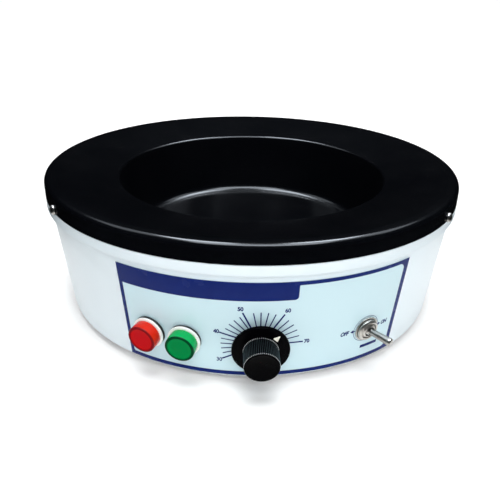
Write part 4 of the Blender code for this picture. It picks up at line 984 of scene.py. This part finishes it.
def make_knob(finishes):
    """A moulded knob: round skirt, a grip whose flutes run through both its rounded ends, and pointer."""
    place = control_station(KNOB_ARC)
    edge = (KNOB_FACE - KNOB_BACK) / 4
    well = KNOB_FACE - KNOB_WALL
    ceiling = KNOB_TOP - 2 * KNOB_WALL
    root = KNOB_CAP_RADIUS - FLUTE_DEPTH
    rim = KNOB_CAP_RADIUS - KNOB_RIM
    corners = [
        (KNOB_BORE, KNOB_BACK, 0.0),
        (KNOB_HUB_RADIUS, KNOB_BACK, 0.0),
        (KNOB_HUB_RADIUS, well, 0.0),
        (KNOB_SKIRT_RADIUS - KNOB_WALL, well, 0.0),
        (KNOB_SKIRT_RADIUS - KNOB_WALL, KNOB_BACK, 0.0),
        (KNOB_SKIRT_RADIUS, KNOB_BACK, edge),
        (KNOB_SKIRT_RADIUS, KNOB_FACE, edge),
        (KNOB_CAP_RADIUS, KNOB_FACE, GRIP_ROUND),
        (KNOB_CAP_RADIUS, KNOB_TOP, GRIP_ROUND),
        (rim, KNOB_TOP, 0.0),
        (rim - 2 * KNOB_DISH, KNOB_TOP - KNOB_DISH, 0.0),
        (0.0, KNOB_TOP - KNOB_DISH, 0.0),
        (0.0, ceiling, 0.0),
        (KNOB_BORE, ceiling, 0.0),
    ]

    def flute(radius, height, k):
        """One column in four stands as a crest, and the rest sink."""
        if not root < radius < KNOB_CAP_RADIUS + 2 * GRIP_ROUND or height < KNOB_FACE:
            return radius
        return min(radius, KNOB_CAP_RADIUS - FLUTE_DEPTH * (0.0, 1.0, 1.0, 1.0)[k % 4])

    knob = turn_piece("fluted_knob", rounded(corners), place, 4 * FLUTE_COUNT, flute)
    dress(knob, finishes, "black_phenolic", "dial_knob", "control_knob")

    half = POINTER_WIDTH / 2
    corners = rounded([(POINTER_BASE, -half, 0.0003), (POINTER_TIP, 0.0, 0.0002), (POINTER_BASE, half, 0.0003)])
    bm = bmesh.new()
    low = KNOB_FACE + SEAT_GAP / 2
    add_prism(bm, corners, low, low + POINTER_THICK)
    pointer = make_piece("pointer_arrow", bm, place @ Matrix.Rotation(radians(POINTER_ANGLE), 4, "Z"))
    dress(pointer, finishes, "pointer_white", "dial_knob", "knob_pointer")


# Toggle switch

def make_switch(finishes):
    """Dished washer, domed dress nut, threaded bushing with its turned-in mouth, and the bat lever."""
    place = control_station(SWITCH_ARC)
    bore = BUSHING_RADIUS + HOLE_GAP
    under, dish, rim = WASHER_LEVELS
    seat, shoulder, top = DRESS_NUT_LEVELS
    pieces = {
        "washer": rounded([
            (bore, under, 0.0),
            (WASHER_RADIUS, under, 0.0002),
            (WASHER_RADIUS, rim, 0.0003),
            (WASHER_RADIUS - 0.0009, rim, 0.0001),
            (WASHER_RADIUS - 0.0013, dish, 0.0001),
            (bore, dish, 0.0),
        ]),
        "dress_nut": rounded([
            (bore, seat, 0.0),
            (DRESS_NUT_RADIUS, seat, 0.0),
            (DRESS_NUT_RADIUS, shoulder, 0.0007),
            (bore + 0.0009, top, 0.0004),
            (bore, top, 0.0001),
        ]),
        "bushing": rounded([
            (BUSHING_BORE, -BUSHING_DEPTH, 0.0),
            (BUSHING_RADIUS, -BUSHING_DEPTH, 0.0003),
            (BUSHING_RADIUS, BUSHING_TOP - 0.0013, 0.0012),
            (BUSHING_MOUTH, BUSHING_TOP, 0.0003),
            (BUSHING_MOUTH, BUSHING_TOP - 0.0006, 0.0002),
            (BUSHING_BORE, BUSHING_TOP - 0.0020, 0.0005),
        ]),
    }
    for name, outline in pieces.items():
        piece = turn_piece("toggle_" + name, outline, place, FINE_STEPS)
        dress(piece, finishes, "nickel_plate", node="switch_" + name)

    pivot = place @ Matrix.Translation((0, 0, LEVER_PIVOT)) @ Matrix.Rotation(radians(LEVER_TILT), 4, "Y")
    neck = (LEVER_BALL ** 2 - LEVER_ROOT_RADIUS ** 2) ** 0.5
    start, end = -pi / 2, atan2(neck, LEVER_ROOT_RADIUS)
    steps = 24
    ball = [(0.0, -LEVER_BALL)]
    for i in range(1, steps + 1):
        turn = start + (end - start) * i / steps
        ball.append((LEVER_BALL * cos(turn), LEVER_BALL * sin(turn)))
    arm = rounded([
        (LEVER_ROOT_RADIUS, neck, 0.0),
        (LEVER_TIP_RADIUS - 0.0002, LEVER_REACH - 0.0030, 0.0002),
        (LEVER_TIP_RADIUS, LEVER_REACH - 0.0026, 0.0002),
        (LEVER_TIP_RADIUS, LEVER_REACH, LEVER_TIP_ROUND),
        (0.0, LEVER_REACH, 0.0),
    ], closed=False)
    lever = turn_piece("toggle_bat", ball + arm[1:], pivot, SMALL_STEPS)
    dress(lever, finishes, "bright_chrome", "toggle_lever", "switch_lever")


# Gland

def make_gland(finishes):
    """The ribbed cap of the cable gland at the back."""
    low, top = GLAND_FLANGE_TOP + SEAT_GAP, GLAND_CAP_TOP
    inner = GLAND_THREAD + HOLE_GAP
    grip_end, grip_limit, smooth_start = GLAND_GRIP

    def rib(radius, height, k):
        """Three columns in six sink between the ribs, up to the grip's end."""
        if radius < (inner + GLAND_CAP_RADIUS) / 2 or height > low + grip_limit:
            return radius
        return radius - GLAND_RIB_DEPTH * (0.0, 0.0, 1.0, 1.0, 1.0, 0.0)[k % 6]

    corners = [
        (inner, low, 0.0),
        (GLAND_CAP_RADIUS, low, 0.0),
        (GLAND_CAP_RADIUS, low + grip_end, 0.0),
        (GLAND_CAP_RADIUS, low + smooth_start, 0.0),
        (GLAND_CAP_RADIUS, top, GLAND_CAP_RADIUS - GLAND_CAP_MOUTH),
        (GLAND_CAP_MOUTH, top, 0.0),
        (GLAND_CAP_MOUTH, top - GLAND_CAP_WALL, 0.0),
        (inner, top - 2 * GLAND_CAP_WALL, 0.0),
    ]
    place = panel_station(pi, BODY_BOTTOM + GLAND_HEIGHT)
    cap = turn_piece("gland_ribbed_cap", rounded(corners), place, 6 * GLAND_RIBS, rib)
    dress(cap, finishes, "black_phenolic", node="gland_cap")


def dress_solids(finishes):
    """Every solid that stays in sight gets the finish of its slot."""
    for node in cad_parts.values():
        if not node.hide_render:
            for i, old in enumerate(node.data.materials):
                node.data.materials[i] = finishes[old.name.split(".")[0]]


# Floor, lights and camera

def seen_rays(tree):
    """1 for what the camera sees, also in polished or clear surfaces, and 0 for light that falls on things."""
    path = add(tree, "LightPath", {}, {})
    seen = path.outputs["Is Camera Ray"]
    for ray in ("Is Glossy Ray", "Is Transmission Ray"):
        seen = add(tree, "Math", {"operation": "MAXIMUM"}, {0: seen, 1: path.outputs[ray]}).outputs["Value"]
    return seen


def make_floor():
    """White paper that shows a little brighter than it is lit, more so far off, and keeps the shadow."""
    made, tree, shader = start_material("white_paper")
    place = add(tree, "TexCoord", {}, {}).outputs["Object"]
    grain = add(tree, "TexNoise", {"Scale": 1 / 0.004, "Detail": 2.0}, {"Vector": place})
    bump = add(tree, "Bump", {"Distance": 0.00002}, {"Height": grain.outputs["Fac"]})
    far = add(tree, "VectorMath", {"operation": "LENGTH"}, {0: place}).outputs["Value"]
    glow = fade(tree, far, PAPER_REACH, PAPER_GLOW)
    share = add(tree, "Math", {"operation": "MULTIPLY"}, {0: glow, 1: seen_rays(tree)})
    settle(tree, shader, {"Emission Color": tone("FFFFFF"), "Base Color": tone("F4F4F4"), "Roughness": 0.9,
                          "Specular IOR Level": 0.0},
           {"Normal": bump.outputs["Normal"], "Emission Strength": share.outputs["Value"]})
    bm = bmesh.new()
    bmesh.ops.create_circle(bm, cap_ends=True, radius=PAPER_RADIUS, segments=FINE_STEPS)
    ground = make_piece("paper_floor", bm)
    ground.data.materials.append(made)


def add_light(name, kind, power, place, aim, size=None, angle=None, tint="FFFFFF", gloss=False):
    """A lamp that either lights the colours or, with gloss, only shows in polished surfaces."""
    data = bpy.data.lights.new(name, kind)
    data.energy = power
    data.color = tone(tint)[:3]
    if size:
        data.shape = "RECTANGLE"
        data.size, data.size_y = size
    if angle:
        data.angle = radians(angle)
    light = bpy.data.objects.new(name, data)
    bpy.context.scene.collection.objects.link(light)
    light.location = place
    light.rotation_euler = (Vector(aim) - Vector(place)).to_track_quat("-Z", "Y").to_euler()
    light.visible_diffuse = not gloss
    light.visible_glossy = gloss


def make_lights():
    """A soft lamp overhead, one from the front right, one behind, and soft boxes above that draw the gloss."""
    add_light("overhead", "SUN", 2.3, (0.0, -0.21, 2.0), (0.0, 0.0, 0.0), angle=30)
    add_light("front", "AREA", 18.5, (0.12, -1.32, 1.25), (0.0, -0.1, 0.05), (1.1, 0.6))
    add_light("back", "AREA", 13.0, (0.0, 1.5, 1.0), (0.0, 0.1, 0.05), (1.4, 0.6))
    for name, power, x, y, size in (
        ("gloss_wide", 56.0, 0.10, -0.27, (1.3, 0.75)),
        ("gloss_left", 35.0, -0.35, 0.45, (0.5, 0.7)),
        ("gloss_right", 38.0, 0.50, 0.60, (0.5, 0.7)),
        ("gloss_far_left", 9.0, -1.10, 0.45, (0.8, 1.0)),
        ("gloss_far_right", 12.0, 1.20, 0.50, (0.8, 1.0)),
    ):
        add_light(name, "AREA", power, (x, y, GLOSS_HEIGHT), (x, y, 0.0), size, tint="EAF4FF", gloss=True)


def make_world():
    """A backdrop that is white to the camera, and dark overhead for reflections and as a lamp."""
    world = bpy.data.worlds.new("studio")
    bpy.context.scene.world = world
    world.use_nodes = True
    tree = world.node_tree
    sky = tree.nodes["Background"]
    way = add(tree, "TexCoord", {}, {}).outputs["Generated"]
    rise = add(tree, "SeparateXYZ", {}, {"Vector": way}).outputs["Z"]
    share = fade(tree, rise, [sin(radians(angle)) for angle in HORIZON])
    unseen = add(tree, "Math", {"operation": "SUBTRACT", 0: 1.0},
                 {1: add(tree, "LightPath", {}, {}).outputs["Is Camera Ray"]}).outputs["Value"]
    dark = add(tree, "Math", {"operation": "MULTIPLY"}, {0: share, 1: unseen}).outputs["Value"]
    ramp = add(tree, "ValToRGB", {"stops": [(0.0, "FFFFFF"), (1.0, "262A2E")]}, {"Fac": dark})
    strength = fade(tree, seen_rays(tree), levels=(WORLD_LIGHT, 1.0))
    settle(tree, sky, {}, {"Color": ramp.outputs["Color"], "Strength": strength})


def make_cards():
    """Black studio cards on the floor round the bath and behind it, that keep the black gloss deep."""
    made, tree, shader = start_material("black_card")
    settle(tree, shader, {"Base Color": tone("0A0A0A"), "Roughness": 1.0, "Specular IOR Level": 0.0}, {})
    round_card = bmesh.new()
    add_lathe(round_card, ring(CARD_OPENING, CARD_REACH, 0.0, SEAT_GAP), FINE_STEPS)
    add_lathe(round_card, ring(CARD_REACH, CARD_REACH + SEAT_GAP, 0.0, CARD_HEIGHT), FINE_STEPS)
    side = bmesh.new()
    add_flat(side, LEFT_CARD)
    for name, bm, rise in (("round", round_card, SEAT_GAP), ("left", side, 3 * SEAT_GAP)):
        card = make_piece("black_card_" + name, bm, Matrix.Translation((0.0, 0.0, rise)))
        card.data.materials.append(made)
        card.visible_camera = False
        card.visible_diffuse = name == "left"
        card.visible_shadow = False


def make_camera():
    """The photograph's view."""
    level = cos(CAMERA_PITCH)
    ahead = Vector((sin(CAMERA_YAW) * level, cos(CAMERA_YAW) * level, -sin(CAMERA_PITCH)))
    right = Vector((cos(CAMERA_YAW), -sin(CAMERA_YAW), 0.0))
    up = right.cross(ahead)
    across = right * cos(CAMERA_ROLL) + up * sin(CAMERA_ROLL)
    above = up * cos(CAMERA_ROLL) - right * sin(CAMERA_ROLL)
    data = bpy.data.cameras.new("camera")
    data.lens = CAMERA_LENS
    data.sensor_width = CAMERA_SENSOR
    camera = bpy.data.objects.new("camera", data)
    bpy.context.scene.collection.objects.link(camera)
    place = Matrix((across, above, -ahead)).transposed().to_4x4()
    place.translation = CAMERA_PLACE
    camera.matrix_world = place
    bpy.context.scene.camera = camera


finishes = make_finishes()
make_pan(finishes)
make_housing(finishes)
make_base(finishes)
make_pan_screws(finishes)
make_label(finishes)
make_dial_print(finishes)
make_switch_print(finishes)
make_lamp(finishes, "red", RED_LAMP_ARC)
make_lamp(finishes, "green", GREEN_LAMP_ARC)
make_knob(finishes)
make_switch(finishes)
make_gland(finishes)
dress_solids(finishes)
make_floor()
make_lights()
make_world()
make_cards()
make_camera()
bpy.context.scene.view_settings.view_transform = "Standard"
